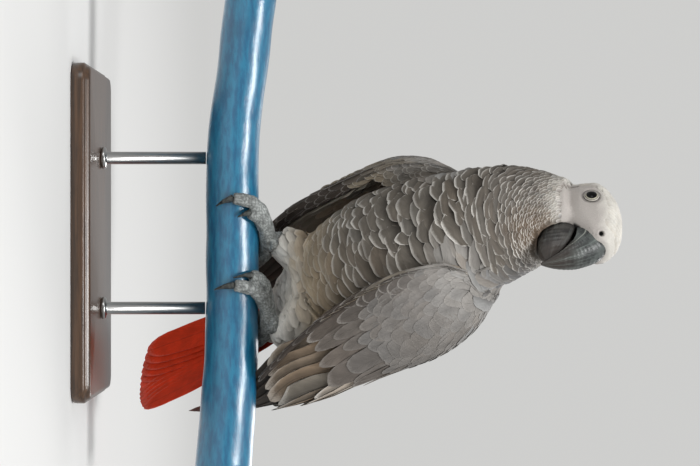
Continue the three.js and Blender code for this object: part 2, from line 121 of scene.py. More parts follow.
class Place:
    """A turned frame inside the row frame."""

    def __init__(self, x, y, z, yaw=0, roll=0, lean=0):
        self.origin = np.array([x, y, z], float)
        self.turn = np.array(Euler([math.radians(a) for a in (lean, roll, yaw)]).to_matrix())

    def out(self, local):
        return self.origin + self.turned(local)

    def into(self, points):
        return (points - self.origin) @ self.turn

    def turned(self, vectors):
        return np.asarray(vectors, float) @ self.turn.T


BRANCH_HEIGHT = 96
BODY = Place(18, -3, BRANCH_HEIGHT + 97.5, yaw=-42, lean=31)
HEAD = Place(-10.7, -33.5, BRANCH_HEIGHT + 228.5, yaw=42, roll=-1.5)
SIDES = ((-1, "right"), (1, "left"))


# ---- Meshes ----


def added(name, data):
    """A new object of the scene that shows the data."""
    made = bpy.data.objects.new(name, data)
    bpy.context.scene.collection.objects.link(made)
    return made


def halved(faces):
    """Four-cornered faces as triangles."""
    return np.concatenate([faces[:, [0, 1, 2]], faces[:, [0, 2, 3]]])


def woven(number):
    """Quads between the points of a grid, given by their numbers."""
    return np.stack([number[:-1, :-1], number[:-1, 1:], number[1:, 1:], number[1:, :-1]], -1).reshape(-1, 4)


def edges_of(faces):
    pairs = np.concatenate([faces[:, [i, (i + 1) % faces.shape[1]]] for i in range(faces.shape[1])])
    return np.unique(np.sort(pairs, 1), axis=0)


def relaxed(points, edges, rounds, keep=None):
    """Points moved towards their neighbours and part of the way back, which smooths without shrinking."""
    count = np.bincount(edges.ravel(), minlength=len(points))[:, None]
    for i in range(2 * rounds):
        total = np.zeros_like(points)
        for near, far in (edges.T, edges.T[::-1]):
            for axis in range(3):
                total[:, axis] += np.bincount(near, points[far, axis], len(points))
        step = (0.5 if i % 2 == 0 else -0.52) * (total / np.maximum(count, 1) - points)
        points = points + (step if keep is None else step * (1 - keep)[:, None])
    return points


class Surface:
    """A closed triangle mesh in millimetres, with smooth normals and a way to find its nearest places."""

    def __init__(self, points, triangles):
        self.points, self.triangles = points, triangles
        corners = points[triangles]
        across = np.cross(corners[:, 1] - corners[:, 0], corners[:, 2] - corners[:, 0])
        self.normals = np.zeros_like(points)
        for i in range(3):
            np.add.at(self.normals, triangles[:, i], across)
        self.normals = unit(self.normals)
        self.tree = BVHTree.FromPolygons(points.tolist(), triangles.tolist())

    def nearest(self, points):
        """The nearest place on the surface to each point, and the smooth normal there."""
        flat = points.reshape(-1, 3)
        found = [self.tree.find_nearest(p) for p in flat.tolist()]
        place = np.array([f[0] for f in found])
        triangle = self.triangles[[f[2] for f in found]]
        a, b, c = (self.points[triangle[:, i]] for i in range(3))
        ab, ac, ap = b - a, c - a, place - a
        bb, bc, cc, pb, pc = dot(ab, ab), dot(ab, ac), dot(ac, ac), dot(ap, ab), dot(ap, ac)
        whole = np.maximum(bb * cc - bc * bc, 1e-12)
        v, w = (cc * pb - bc * pc) / whole, (bb * pc - bc * pb) / whole
        shares = np.stack([1 - v - w, v, w], 1)[..., None]
        normal = unit((shares * self.normals[triangle]).sum(1))
        return place.reshape(points.shape), normal.reshape(points.shape)

    def distance(self, points):
        return np.array([self.tree.find_nearest(p)[3] for p in points.tolist()])


def node_mesh(names, grow=0):
    """The CAD nodes' meshes as one set of points and triangles, each grown along its normals."""
    points, triangles, start = [], [], 0
    for name in names:
        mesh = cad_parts[name].data
        mesh.calc_loop_triangles()
        raw = np.empty(len(mesh.vertices) * 3)
        mesh.vertices.foreach_get("co", raw)
        corners = np.empty(len(mesh.loop_triangles) * 3, int)
        mesh.loop_triangles.foreach_get("vertices", corners)
        own, index = np.unique(raw.reshape(-1, 3).round(7), axis=0, return_inverse=True)
        faces = index.reshape(-1)[corners.reshape(-1, 3)]
        surface = Surface(own / MM, faces)
        points.append(surface.points + grow * surface.normals)
        triangles.append(faces + start)
        start += len(own)
    return np.concatenate(points), np.concatenate(triangles)


def remeshed(points, faces, voxel, rounds):
    """One even, smooth surface round the given closed ones, as points and quads."""
    mesh = bpy.data.meshes.new("rough")
    mesh.from_pydata((points * MM).tolist(), [], faces.tolist())
    rough = added("rough", mesh)
    modifier = rough.modifiers.new("remesh", "REMESH")
    modifier.mode = "VOXEL"
    modifier.voxel_size = voxel * MM
    made = rough.evaluated_get(bpy.context.evaluated_depsgraph_get()).to_mesh()
    even = np.empty(len(made.vertices) * 3)
    made.vertices.foreach_get("co", even)
    quads = np.empty(len(made.loops), int)
    made.loops.foreach_get("vertex_index", quads)
    bpy.data.objects.remove(rough)
    bpy.data.meshes.remove(mesh)
    even, quads = even.reshape(-1, 3) / MM, quads.reshape(-1, 4)
    return relaxed(even, edges_of(quads), rounds), quads


def refined(points, quads, chosen, cuts, rounds):
    """The same surface with finer faces between the chosen points, as points and a list of faces."""
    mesh = bmesh.new()
    corners = [mesh.verts.new(p) for p in points.tolist()]
    for quad in quads.tolist():
        mesh.faces.new([corners[i] for i in quad])
    mesh.verts.index_update()
    edges = [e for e in mesh.edges if chosen[e.verts[0].index] and chosen[e.verts[1].index]]
    bmesh.ops.subdivide_edges(mesh, edges=edges, cuts=cuts, use_grid_fill=True)
    mesh.verts.index_update()
    finer = np.array([v.co for v in mesh.verts])
    links = np.array([[e.verts[0].index, e.verts[1].index] for e in mesh.edges])
    faces = [[v.index for v in f.verts] for f in mesh.faces]
    mesh.free()
    return relaxed(finer, links, rounds), faces


def built(name, points, faces, material, slot, replaces=(), maps=None, values=None, sharp=None):
    """An object that rides on the bird, with the UV maps and attributes (`values`) given for each point."""
    mesh = bpy.data.meshes.new(name)
    mesh.from_pydata((np.asarray(points) * MM).tolist(), [], list(faces))
    mesh.polygons.foreach_set("use_smooth", np.ones(len(mesh.polygons), bool))
    corner = np.empty(len(mesh.loops), int)
    mesh.loops.foreach_get("vertex_index", corner)
    for key, uv in (maps or {}).items():
        layer = mesh.uv_layers.new(name=key)
        layer.uv.foreach_set("vector", np.asarray(uv, np.float32)[corner].ravel())
    for key, value in (values or {}).items():
        value = np.asarray(value, np.float32)
        if value.ndim == 1:
            mesh.attributes.new(key, "FLOAT", "POINT").data.foreach_set("value", value)
        else:
            colour = np.concatenate([value, np.ones((len(value), 1), np.float32)], 1)
            mesh.attributes.new(key, "FLOAT_COLOR", "POINT").data.foreach_set("color", colour.ravel())
    if sharp is not None:
        ends = np.empty(len(mesh.edges) * 2, int)
        mesh.edges.foreach_get("vertices", ends)
        group = sharp[ends.reshape(-1, 2)]
        hard = (group[:, 0] > 0) & (group[:, 0] == group[:, 1])
        mesh.attributes.new("sharp_edge", "BOOLEAN", "EDGE").data.foreach_set("value", hard)
    mesh.materials.append(material)
    piece = added(name, mesh)
    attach(piece, "root")
    if replaces:
        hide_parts(*replaces)
    return piece


def lofted(rings):
    """Closed rings of points (rings, sides, 3) joined into one skin with a cap at each end."""
    count, sides = rings.shape[:2]
    number = np.arange(count * sides).reshape(count, sides)
    number = np.hstack([number, number[:, :1]])
    points = np.concatenate([rings.reshape(-1, 3), rings[[0, -1]].mean(1)])
    middles = np.full(sides, count * sides)
    start = np.stack([middles, number[0, 1:], number[0, :-1]], 1)
    end = np.stack([middles + 1, number[-1, :-1], number[-1, 1:]], 1)
    return points, woven(number).tolist() + start.tolist() + end.tolist()


def loft_map(down, beside):
    """A UV map of a lofted form from the shares of the way along and round it, with its caps' middles."""
    pairs = np.stack(np.broadcast_arrays(down, beside), -1).reshape(-1, 2)
    return np.concatenate([pairs, [[0, 0.5], [1, 0.5]]])


# ---- Materials ----


class Paint:
    """A material and short ways to add nodes to it."""

    def __init__(self, name, roughness, **sockets):
        self.material = bpy.data.materials.new(name)
        self.material.use_nodes = True
        self.tree = self.material.node_tree
        self.shader = self.tree.nodes["Principled BSDF"]
        self.put(self.shader, "Roughness", roughness)
        for key, value in sockets.items():
            self.put(self.shader, key.replace("_", " "), value)

    def put(self, node, socket, value):
        target = node.inputs[socket]
        if isinstance(value, bpy.types.NodeSocket):
            self.tree.links.new(value, target)
        elif target.type == "RGBA":
            target.default_value = (*value, 1)
        else:
            target.default_value = value

    def node(self, kind, inputs=(), **settings):
        made = self.tree.nodes.new(kind)
        for key, value in settings.items():
            setattr(made, key, value)
        for socket, value in dict(inputs).items():
            self.put(made, socket, value)
        return made

    def math(self, operation, *values):
        return self.node("ShaderNodeMath", enumerate(values), operation=operation).outputs[0]

    def plus(self, a, b):
        return self.math("ADD", a, b)

    def minus(self, a, b):
        return self.math("SUBTRACT", a, b)

    def times(self, a, b):
        return self.math("MULTIPLY", a, b)

    def vector(self, *values):
        return self.node("ShaderNodeCombineXYZ", enumerate(values)).outputs[0]

    def mix(self, share, a, b, blend="MIX"):
        made = self.node("ShaderNodeMix", {0: share, 6: a, 7: b}, data_type="RGBA", blend_type=blend)
        return made.outputs[2]

    def shaded(self, colour, shade):
        """The colour made darker or lighter by a share."""
        return self.mix(1.0, colour, self.vector(shade, shade, shade), "MULTIPLY")

    def ranged(self, value, low, high, start=0, end=1):
        inputs = {0: value, 1: low, 2: high, 3: start, 4: end}
        return self.node("ShaderNodeMapRange", inputs, interpolation_type="SMOOTHSTEP").outputs[0]

    def value(self, name):
        return self.node("ShaderNodeAttribute", attribute_name=name).outputs["Fac"]

    def colour(self, name):
        return self.node("ShaderNodeAttribute", attribute_name=name).outputs["Color"]

    def uv(self, name):
        made = self.node("ShaderNodeUVMap", uv_map=name).outputs[0]
        return self.node("ShaderNodeSeparateXYZ", {0: made}).outputs

    def place(self, stretch=(1, 1, 1)):
        """Object coordinates in millimetres, stretched along each axis."""
        here = self.node("ShaderNodeTexCoord").outputs["Object"]
        scale = tuple(s / MM for s in stretch)
        return self.node("ShaderNodeMapping", {"Vector": here, "Scale": scale}).outputs[0]

    def noise(self, vector, scale, detail=3, roughness=0.5):
        inputs = {"Vector": vector, "Scale": scale, "Detail": detail, "Roughness": roughness}
        return self.node("ShaderNodeTexNoise", inputs).outputs[0]

    def cells(self, vector, scale):
        return self.node("ShaderNodeTexVoronoi", {"Vector": vector, "Scale": scale}).outputs["Distance"]

    def done(self, colour, height=None, depth=1.0):
        """Ends the material with its colour and a bump of `depth` millimetres."""
        self.put(self.shader, "Base Color", colour)
        if height is not None:
            inputs = {"Strength": 1.0, "Distance": depth * MM, "Height": height}
            self.put(self.shader, "Normal", self.node("ShaderNodeBump", inputs).outputs[0])
        return self.material


def feather_paint(name, edge_from, barbs, foot, shaft=0.0, heart=1.0, relief=2.0):
    """A vane with an edge paler by its own `pale`, a foot darkened by `foot` as painted shade under the row
    above, a darker heart, a shaft and fine barbs.
    """
    paint = Paint(name, 0.75, Specular_IOR_Level=0.25)
    t, b = paint.uv("vane")[0:2]
    beside = paint.math("ABSOLUTE", b)
    place = paint.place()
    ragged = paint.minus(paint.noise(place, 0.9, 3), 0.5)
    rim = paint.math("MAXIMUM", t, paint.times(beside, paint.ranged(t, 0.25, 0.8, 0, 0.99)))
    rim = paint.plus(rim, paint.times(ragged, 0.09))
    rim = paint.ranged(rim, edge_from, 1.0)
    base = paint.colour("tint")
    # painted shade: the vane's foot, where the row above covers it, is darkened by `foot`
    deep = paint.mix(1.0, base, (foot, foot * 0.98, foot * 0.96), "MULTIPLY")
    pale = paint.mix(paint.value("pale"), base, (0.8, 0.77, 0.72))
    body = paint.mix(paint.ranged(t, 0.3, 0.85), deep, base)
    if heart < 1:
        body = paint.mix(paint.ranged(beside, 0.15, 0.8), paint.shaded(body, heart), body)
    colour = paint.mix(rim, body, pale)
    swept = paint.minus(t, paint.times(beside, 0.35))
    comb = paint.math("SINE", paint.times(swept, barbs * 6.28))
    wisp = paint.noise(paint.vector(paint.times(swept, barbs), b), 1.0, 2)
    line = paint.minus(1.0, paint.ranged(beside, 0.02, 0.07))
    patchy = paint.ranged(paint.noise(place, 0.12, 4), 0.3, 0.7, 0.9, 1.1)
    shade = paint.times(patchy, paint.ranged(wisp, 0.25, 0.75, 0.93, 1.06))
    shade = paint.minus(shade, paint.times(line, shaft))
    colour = paint.shaded(colour, shade)
    height = paint.plus(paint.times(comb, 0.5), paint.times(line, relief))
    return paint.done(colour, height, 0.05)


# ---- Flesh ----

FLESH = ("head", "neck", "trunk", "thigh_left", "thigh_right")
FEET = ("foot_left", "foot_right")
SHOULDERS = ("wing_left_coverts", "wing_right_coverts")
SHOULDER = (62, 98)  # between these of the coat's measure its feathers run over the wings' shoulders too
MANTLE_END = 114  # on the back they do so down to here
CUT = 0.3  # the CAD's thin cuts between nodes
FINENESS = {"form": 1.3, "cover": 1.5, "feet": 0.76, "talon": 0.3}  # the width of the faces of remeshed forms
# Feathers root no nearer than this to bill and branch, and no lower than this over the branch's middle.
CLEAR = {"bill": 1.2, "branch": 3, "low": 12}
BEAK = np.array([0, -30, -8])  # the place on the head that its feathers lie away from
COAT_START = 160  # what the coat's measure is where the trunk's axis has its zero

form_points, form_quads = remeshed(*node_mesh(FLESH, CUT), FINENESS["form"], 6)
height = HEAD.into(form_points)[:, 2]
firm = 1 - smooth(height, -38, -26) * smooth(height, 0, -8)
form_points = relaxed(form_points, edges_of(form_quads), 70, firm)
form = Surface(form_points, halved(form_quads))
form = Surface(form.points - CUT * form.normals, form.triangles)
cover_points, cover_quads = remeshed(*node_mesh(FLESH + SHOULDERS, CUT), FINENESS["cover"], 8)
cover = Surface(cover_points, halved(cover_quads))
bills = Surface(*node_mesh(("bill_upper", "bill_lower")))
branch = Surface(*node_mesh(("perch",)))


def lie(points):
    """The coat's measure: how far down it a place is. Feathers point along it and rows lie across it."""
    round_head = np.linalg.norm(HEAD.into(points) - BEAK, axis=-1)
    at = BODY.into(points)[..., 2]
    return mixed(round_head, COAT_START - at, smooth(at, 118, 72))


def flow(points):
    """The direction in which the coat's measure grows."""
    steps = np.eye(3) * 0.5
    return unit(np.stack([lie(points + s) - lie(points - s) for s in steps], -1))


def flow_on(points, normal):
    """As flow(), laid flat on the surface that has these normals."""
    ahead = flow(points)
    return unit(ahead - dot(ahead, normal)[:, None] * normal)


def ripple(points, size):
    """A smooth wave over the bird from -1 to 1, about `size` millimetres from crest to crest."""
    x, y, z = axes(points * (2 * math.pi / size))
    waves = (x + 1.7 * np.sin(0.61 * y), 1.13 * y + 1.9 * np.sin(0.73 * z), 0.94 * z + x)
    return sum(np.sin(wave) for wave in waves) / 3


def bareness(points, low, high):
    """How far a place is within the bare patch round eyes and bill: 1 inside `low`, 0 beyond `high`."""
    side, back, up = axes(HEAD.into(points))
    ahead = -back
    cheek = ((ahead - 12) / 21) ** 2 + ((up + 7.5) / 14) ** 2
    cere = ((ahead - 31) / 7) ** 2 + ((up - 2) / 8) ** 2 + (side / 16) ** 2
    patch = np.minimum(cheek, cere) + 0.13 * ripple(points, 5) + 0.1 * ripple(points, 11)
    return smooth(patch, high, low) * smooth(ahead, -14, -8)


def bare(points):
    """1 on the bare white skin round the eyes and bill, 0 where feathers grow."""
    return bareness(points, 0.95, 1.15)


def pallor(points):
    """How far the white of the face reaches: over the bare skin and the first small feathers round it."""
    return bareness(points, 0.95, 1.6)


# From the bill to the tail: the coat's measure, rows' spacing, spacing across, and depth over the skin.
COAT = (
    (14, 1.6, 2.4, 0.3),
    (34, 1.4, 2.2, 0.4),
    (46, 1.9, 3.8, 0.8),
    (58, 2.6, 7.0, 1.3),
    (70, 3.4, 12.0, 1.8),
    (84, 4.6, 13.5, 2.5),
    (110, 5.5, 14.0, 2.8),
    (150, 5.1, 12.5, 2.7),
    (200, 4.3, 10.2, 2.3),
    (235, 3.8, 8.6, 1.8),
    (266, 4.0, 7.0, 1.2),
)


def coat_at(points):
    return along(COAT, lie(points))


# ---- Colours ----

FACE, CROWN, NECK, BREAST = rgb("afa9a4"), rgb("cdcac2"), rgb("6d6760"), rgb("655f57")
BELLY, THIGH, MANTLE, STAIN = rgb("a49379"), rgb("d6d4ce"), rgb("77787a"), rgb("5c4a38")
# Two of these are painted shade: the near-black of the mouth's corners and nostrils, and the dark of the
# crease round each eye, which also marks the real specks beside the bill.
FOOT, CREASE_SHADE_AND_SPECK, LID_RIM, HOLLOW_SHADE = rgb("989c9a"), rgb("5a5652"), rgb("b9b4aa"), rgb("0e0d0d")
COVERT, COVERT_LOW, GREATER = rgb("94918d"), rgb("7d7975"), rgb("69625c")
FLIGHT, PRIMARY = rgb("857869"), rgb("4e4640")
TERTIAL, LINING, BUFF = rgb("b7ac9f"), rgb("8a8276"), rgb("867c6c")


def markings(points):
    """The colour of the coat and of the skin at a place on the bird, as linear numbers."""
    side, back, up = axes(HEAD.into(points))
    _, y, at = axes(BODY.into(points))
    colour = blended(NECK, BREAST, smooth(at, 108, 70))
    colour = blended(colour, MANTLE, smooth(y, 5, 28) * smooth(at, 110, 80))
    belly = smooth(at + 4 * ripple(points, 30), 12, -62) * smooth(y, 22, 2)
    colour = blended(colour, BELLY, belly)
    crown = smooth(up - 0.2 * back + 2.5 * ripple(points, 8), -34, -12) * smooth(back, 25, 13)
    colour = blended(colour, CROWN, crown)
    chin = np.linalg.norm([side + 8, back + 20, 0.8 * (up + 38)], axis=0)
    colour = blended(colour, STAIN, 0.8 * smooth(chin, 19, 5))
    face = blended(FACE, CROWN, 0.8 * smooth(up + 1.5 * ripple(points, 9), -1, 8))
    colour = blended(colour, face, pallor(points))
    leg = smooth(points[..., 2], BRANCH_HEIGHT + 56, BRANCH_HEIGHT + 34) * smooth(at, -20, -45)
    return blended(colour, THIGH, leg)


# ---- Rows of feathers on the body ----


def level_lines(surface, field, level):
    """The closed lines of points on a surface along which a field given at its points has one value."""
    over = field[surface.triangles] > level
    met = over.any(1) & ~over.all(1)
    triangles, over = surface.triangles[met], over[met]
    lone = np.where(over.sum(1) == 1, over.argmax(1), over.argmin(1))
    rows = np.arange(len(lone))
    tip = triangles[rows, lone]
    ends = [np.sort([tip, triangles[rows, (lone + k) % 3]], 0).T for k in (1, 2)]
    keys, index = np.unique(np.concatenate(ends), axis=0, return_inverse=True)
    index = index.reshape(2, -1)
    share = (level - field[keys[:, 0]]) / (field[keys[:, 1]] - field[keys[:, 0]])
    spots = blended(surface.points[keys[:, 0]], surface.points[keys[:, 1]], share)
    beside = [[] for _ in keys]
    for a, b in index.T.tolist():
        beside[a].append(b)
        beside[b].append(a)
    left = set(range(len(keys)))
    while left:
        line = [left.pop()]
        while step := [k for k in beside[line[-1]] if k in left]:
            left.discard(step[0])
            line.append(step[0])
        yield spots[line]


def row_roots(line, spacing, phase):
    """Places along a closed line, `spacing` apart, that start from where it crosses the breast."""
    breast = BODY.into(line)
    start = np.argmin(breast[:, 1] + 0.5 * np.abs(breast[:, 0]))
    line = np.roll(line, -start, axis=0)
    if dot(np.cross(line[0] - line.mean(0), line[min(3, len(line) - 1)] - line[0]), flow(line[0])) < 0:
        line = np.roll(line[::-1], 1, axis=0)
    line = np.concatenate([line, line[:1]])
    step = np.linalg.norm(np.diff(line, axis=0), axis=1) / spacing(line[:-1])
    reach = np.concatenate([[0], np.cumsum(step)])
    count = round(reach[-1])
    if count < 3:
        return np.empty((0, 3))
    spots = (np.arange(count) + phase + RNG.uniform(-0.2, 0.2, count)) % count * reach[-1] / count
    return np.stack([np.interp(spots, reach, line[:, axis]) for axis in range(3)], 1)


def rooted():
    """The roots of the body's feathers, row by row."""
    fields = {form: lie(form.points), cover: lie(cover.points)}
    level, row, found = COAT[0][0], 0, []
    while level < COAT[-1][0]:
        surface = cover if SHOULDER[0] < level < SHOULDER[1] else form
        for line in level_lines(surface, fields[surface], level):
            found.append(row_roots(line, lambda p: coat_at(p)[:, 1], 0.5 * (row % 2)))
        level += float(along(COAT, level)[0])
        row += 1
    return np.concatenate(found)


def vane_grid(rows, columns):
    """Shares along and across a vane, as two grids."""
    t = np.linspace(0, 1, rows) ** 0.8
    b = np.sin(np.linspace(-1, 1, columns) * math.pi / 2 * 0.8) / math.sin(math.pi / 2 * 0.8)
    return np.meshgrid(t, b, indexing="ij")


def vane_outline(t, b, rounding, narrow):
    """How far along and across its length and half width each point of a vane lies."""
    reach = t - rounding * t**2 * (1 - np.sqrt(np.clip(1 - (0.98 * b) ** 2, 0, 1)))
    wide = mixed(narrow, 1, smooth(t, 0, 0.6)) * (1 - 0.12 * smooth(t, 0.7, 1))
    return reach, b * wide


def vane_mesh(name, top, bottom, grid, tint, pale, bake, material, slot, replaces=()):
    """One mesh of closed vanes, from their upper and lower points (vanes, rows, columns, 3)."""
    count, rows, columns = top.shape[:3]
    points = np.stack([top, bottom], 1)
    number = np.arange(rows * columns).reshape(rows, columns)
    quads = woven(number)
    rim = np.concatenate([number[0, :-1], number[:-1, -1], number[-1, :0:-1], number[:0:-1, 0]])
    after, lower = np.roll(rim, -1), rows * columns
    walls = np.stack([rim, rim + lower, after + lower, after], 1)
    one = np.concatenate([quads, quads[:, ::-1] + lower, walls])
    faces = (one[None] + 2 * lower * np.arange(count)[:, None, None]).reshape(-1, 4)
    corner = top[:, 0, 0]
    upward = np.cross(top[:, 1, 0] - corner, top[:, 0, 1] - corner)
    if dot(upward, corner - bottom[:, 0, 0]).mean() > 0:
        faces = faces[:, ::-1]
    border = np.zeros((rows, columns), int)
    border[[0, -1]] = 1
    border[:, [0, -1]] = 1
    sharp = np.tile(np.stack([border, 2 * border]).reshape(-1), count)
    t, b = (np.broadcast_to(g, (count, 2, rows, columns)) for g in grid)
    vane = np.stack([t, b], -1).reshape(-1, 2)
    spread = np.stack([b * 0.5, t - 0.5], -1)
    centre, size = (np.broadcast_to(v, (count, 2))[:, None, None, None] for v in bake)
    maps = {"OFBake": (centre + spread * size).reshape(-1, 2), "vane": vane}
    tint = np.broadcast_to(tint[:, None, None, None], (count, 2, rows, columns, 3)).reshape(-1, 3)
    pale = np.broadcast_to(np.asarray(pale, float).reshape(-1, 1), (count, 2 * rows * columns)).ravel()
    values = {"tint": tint, "pale": pale}
    return built(name, points.reshape(-1, 3), faces, material, slot, replaces, maps, values, sharp)


def jittered(tint, amount):
    """Colours that vary from feather to feather in lightness, and a little in warmth."""
    light = RNG.normal(1, amount, (len(tint), 1))
    warm = RNG.normal(0, amount / 3, (len(tint), 1)) * np.array([1, 0, -1])
    return np.clip(tint * (light + warm), 0, 1)


BAKED_VANE = 0.003  # how large a small vane is on the unwrap


def on_unwrap(points):
    """Where a place of the bird lies on the unwrap of its skin: round the trunk, and down the coat."""
    x, y, _ = axes(BODY.into(points))
    turn = (np.arctan2(x, -(y - 8)) / (2 * math.pi) + 0.5) % 1
    down = lie(points) / (COAT[-1][0] + 30)
    return np.stack([0.02 + 0.7 * turn, np.clip(0.02 + 0.96 * down, 0.01, 0.99)], -1)


# Places along the trunk, and there a wing's half width and half depth, how far its middle lies to the back,
# and the angles of its front and back edges.
WING = (
    (-185, 39, 14, 25, -5, 42),
    (-145, 52, 22, 21, 4, 66),
    (-110, 63, 30, 17, 18, 78),
    (-80, 69, 37, 12, 32, 84),
    (-55, 71, 41, 9, 42, 87),
    (-20, 70, 44, 6, 50, 88),
    (20, 69, 46, 5, 54, 88),
    (42, 61, 42, 6, 50, 86),
    (55, 50, 37, 7, 38, 80),
    (64, 40, 31, 9, 12, 60),
)
WING_POWER = 2 / 3


def under_wing(points):
    """Whether a place on the trunk lies well under a folded wing."""
    x, y, at = axes(BODY.into(points))
    reach, deep, shift, front, back = axes(along(WING, at))
    angle = np.degrees(np.arctan2(y - shift, np.abs(x)))
    across, over = bent(np.abs(x) / reach, 1 / WING_POWER), bent((y - shift) / deep, 1 / WING_POWER)
    swept = np.degrees(np.arctan2(over, across))
    return (angle > 13 - front) & (swept < back - 14) & (at > -72) & (at < 50)


def on_shoulder(points):
    """How far a feather of the coat belongs to the top of a folded wing."""
    x, _, at = axes(BODY.into(points))
    return 0.85 * smooth(np.abs(x), 22, 30) * smooth(at, 86, 74) * smooth(at, 50, 62)


def over_shoulder(points):
    """Whether the feathers that root at a place run over the wings' shoulders."""
    measure = lie(points)
    end = np.where(BODY.into(points)[:, 1] > 14, MANTLE_END, SHOULDER[1])
    return (measure > SHOULDER[0]) & (measure < end)


def body_feathers():
    """Where each of the body's feathers grows, and its directions, sizes and colour."""
    roots = rooted()
    near, normal = form.nearest(roots)
    high, high_normal = cover.nearest(roots)
    upper = over_shoulder(roots)[:, None]
    near, normal = np.where(upper, high, near), np.where(upper, high_normal, normal)
    keep = (bare(near) < 0.5) & ~under_wing(near)
    keep &= bills.distance(near) > CLEAR["bill"]
    keep &= branch.distance(near) > CLEAR["branch"]
    keep &= near[:, 2] > BRANCH_HEIGHT + CLEAR["low"]
    near, normal = near[keep], normal[keep]
    count = len(near)
    row, across, depth = coat_at(near).T
    loose = smooth(lie(near), 40, 80)
    ahead = flow_on(near, normal)
    near = near + ahead * (row * loose * RNG.normal(0, 0.16, count))[:, None]
    turn = (RNG.normal(0, 0.08, count) + loose * RNG.normal(0, 0.13, count))[:, None]
    aside = np.cross(normal, ahead)
    ahead = unit(ahead + turn * aside)
    aside = np.cross(normal, ahead)
    tint = blended(markings(near), COVERT, on_shoulder(near))
    tint = jittered(tint, 0.05 - 0.035 * smooth(tint[:, :1], 0.3, 0.6))
    length = row * 2.7 * RNG.normal(1, 0.07 + 0.08 * loose, count)
    width = across * 1.6 * RNG.normal(1, 0.06 + 0.09 * loose, count)
    lift = (0.1 + 0.75 * loose) * np.clip(RNG.normal(1, 0.5, count), 0, 1.8)
    return near, ahead, aside, length, width, depth, lift, tint


def laid(surface, near, ahead, aside, length, width, depth, lift, grid):
    """The upper and lower points of vanes that rise from the skin and lie along a surface, tips curled in.

    The third value says of each vane whether it kept its shape, so that no fold of the surface tore it.
    """
    t, b = grid
    reach, beside = vane_outline(t, b, 0.35, 0.45)
    wave, turn = RNG.uniform(0, 2 * math.pi, (2, len(near), 1, 1))
    reach = reach + (0.022 * np.sin(wave + 3 * b) + 0.014 * np.sin(turn + 7 * b)) * smooth(t, 0.4, 1)
    skew = RNG.normal(0, 0.05, (len(near), 1, 1)) * b + RNG.normal(0, 0.05, (len(near), 1, 1)) * b**2
    length, width, depth, lift = (each(v) for v in (length, width, depth, lift))
    flat = near[:, None, None] + ahead[:, None, None] * (length * reach * (1 + skew * t**2))[..., None]
    flat = flat + aside[:, None, None] * (width / 2 * beside)[..., None]
    place, normal = surface.nearest(flat)
    rise = -depth * (1 - t) ** 1.25 + lift * (smooth(t, 0.1, 0.72) - 0.75 * smooth(t, 0.72, 1.05))
    rise = rise - 0.3 * depth * b**2 * t
    thick = (0.1 + 0.12 * depth) * (1 - 0.6 * b**2) * (1 - 0.6 * t) + 0.05
    top = place + normal * rise[..., None]
    across, across_flat = (np.linalg.norm(np.diff(v, axis=2), axis=-1) for v in (top, flat))
    strain = across / across_flat.clip(1e-6)
    sound = (strain.max((1, 2)) < 2.6) & (strain.mean((1, 2)) > 0.62)
    return top, top - normal * thick[..., None], sound


def fitted(surface, shape, grid):
    """As laid(), with a smaller vane wherever a fold of the surface would pull the first out of shape."""
    top, bottom, sound = laid(surface, *shape, grid)
    rest = ~sound
    if rest.any():
        near, ahead, aside, length, width, depth, lift = (v[rest] for v in shape)
        small = (near, ahead, aside, 0.6 * length, 0.5 * width, depth, 0.3 * lift)
        top[rest], bottom[rest], sound[rest] = laid(surface, *small, grid)
    return top, bottom, sound


plumage = feather_paint("plumage", 0.82, barbs=9, foot=0.38, relief=0.5)
cheek_vane = feather_paint("plumage_cheek", 0.75, barbs=6, foot=0.6, relief=0.3)
down_vane = feather_paint("plumage_down", 0.75, barbs=9, foot=0.6, relief=0.3)
crown_vane = feather_paint("plumage_crown", 0.82, barbs=5, foot=0.9, relief=0.0)


CROWN_FROM = -11  # the height on the head from which its feathers are the crown's


def coat():
    """The body's feathers, in pieces from the crown down to the belly."""
    feathers = body_feathers()
    measure = lie(feathers[0])
    on_crown = HEAD.into(feathers[0])[:, 2] > CROWN_FROM
    high_up = over_shoulder(feathers[0])
    everywhere = measure > 0
    # Name, which feathers, what they lie on, slot, from and to in the coat's measure, points along and
    # across a vane, paint, and how pale its edge is.
    pieces = (
        ("crown", on_crown, form, "head", 0, 44, (5, 7), crown_vane, 0.25),
        ("cheek", ~on_crown, form, "head", 0, 44, (5, 7), cheek_vane, 0.45),
        ("throat", everywhere, form, "body", 44, SHOULDER[0], (7, 9), plumage, 0.56),
        ("neck", high_up, cover, "body", SHOULDER[0], MANTLE_END, (9, 11), plumage, 0.52),
        ("breast", ~high_up, form, "body", SHOULDER[1], 170, (10, 11), plumage, 0.44),
        ("belly", everywhere, form, "body", 170, 300, (8, 9), down_vane, 0.2),
    )
    for name, chosen, surface, slot, low, high, size, paint, pale in pieces:
        own = chosen & (measure >= low) & (measure < high)
        grid = vane_grid(*size)
        *shape, tint = (v[own] for v in feathers)
        top, bottom, sound = fitted(surface, shape, grid)
        roots = shape[0][sound]
        pale = pale * np.clip(RNG.normal(1, 0.3, len(roots)), 0.3, 1.8) * (1 - on_shoulder(roots))
        bake = (on_unwrap(roots), BAKED_VANE)
        top, bottom, tint = top[sound], bottom[sound], tint[sound]
        vane_mesh(f"coat_{name}", top, bottom, grid, tint, pale, bake, paint, f"feather_{slot}")


# Where the saddle lies along the trunk, to each side of its middle and behind it, and its feathers' sizes.
SADDLE = {
    "low": 46,
    "high": 78,
    "inner": 8,
    "outer": 38,
    "behind": 6,
    "apart": 3.4,
    "length": 10.0,
    "width": 8.5,
}


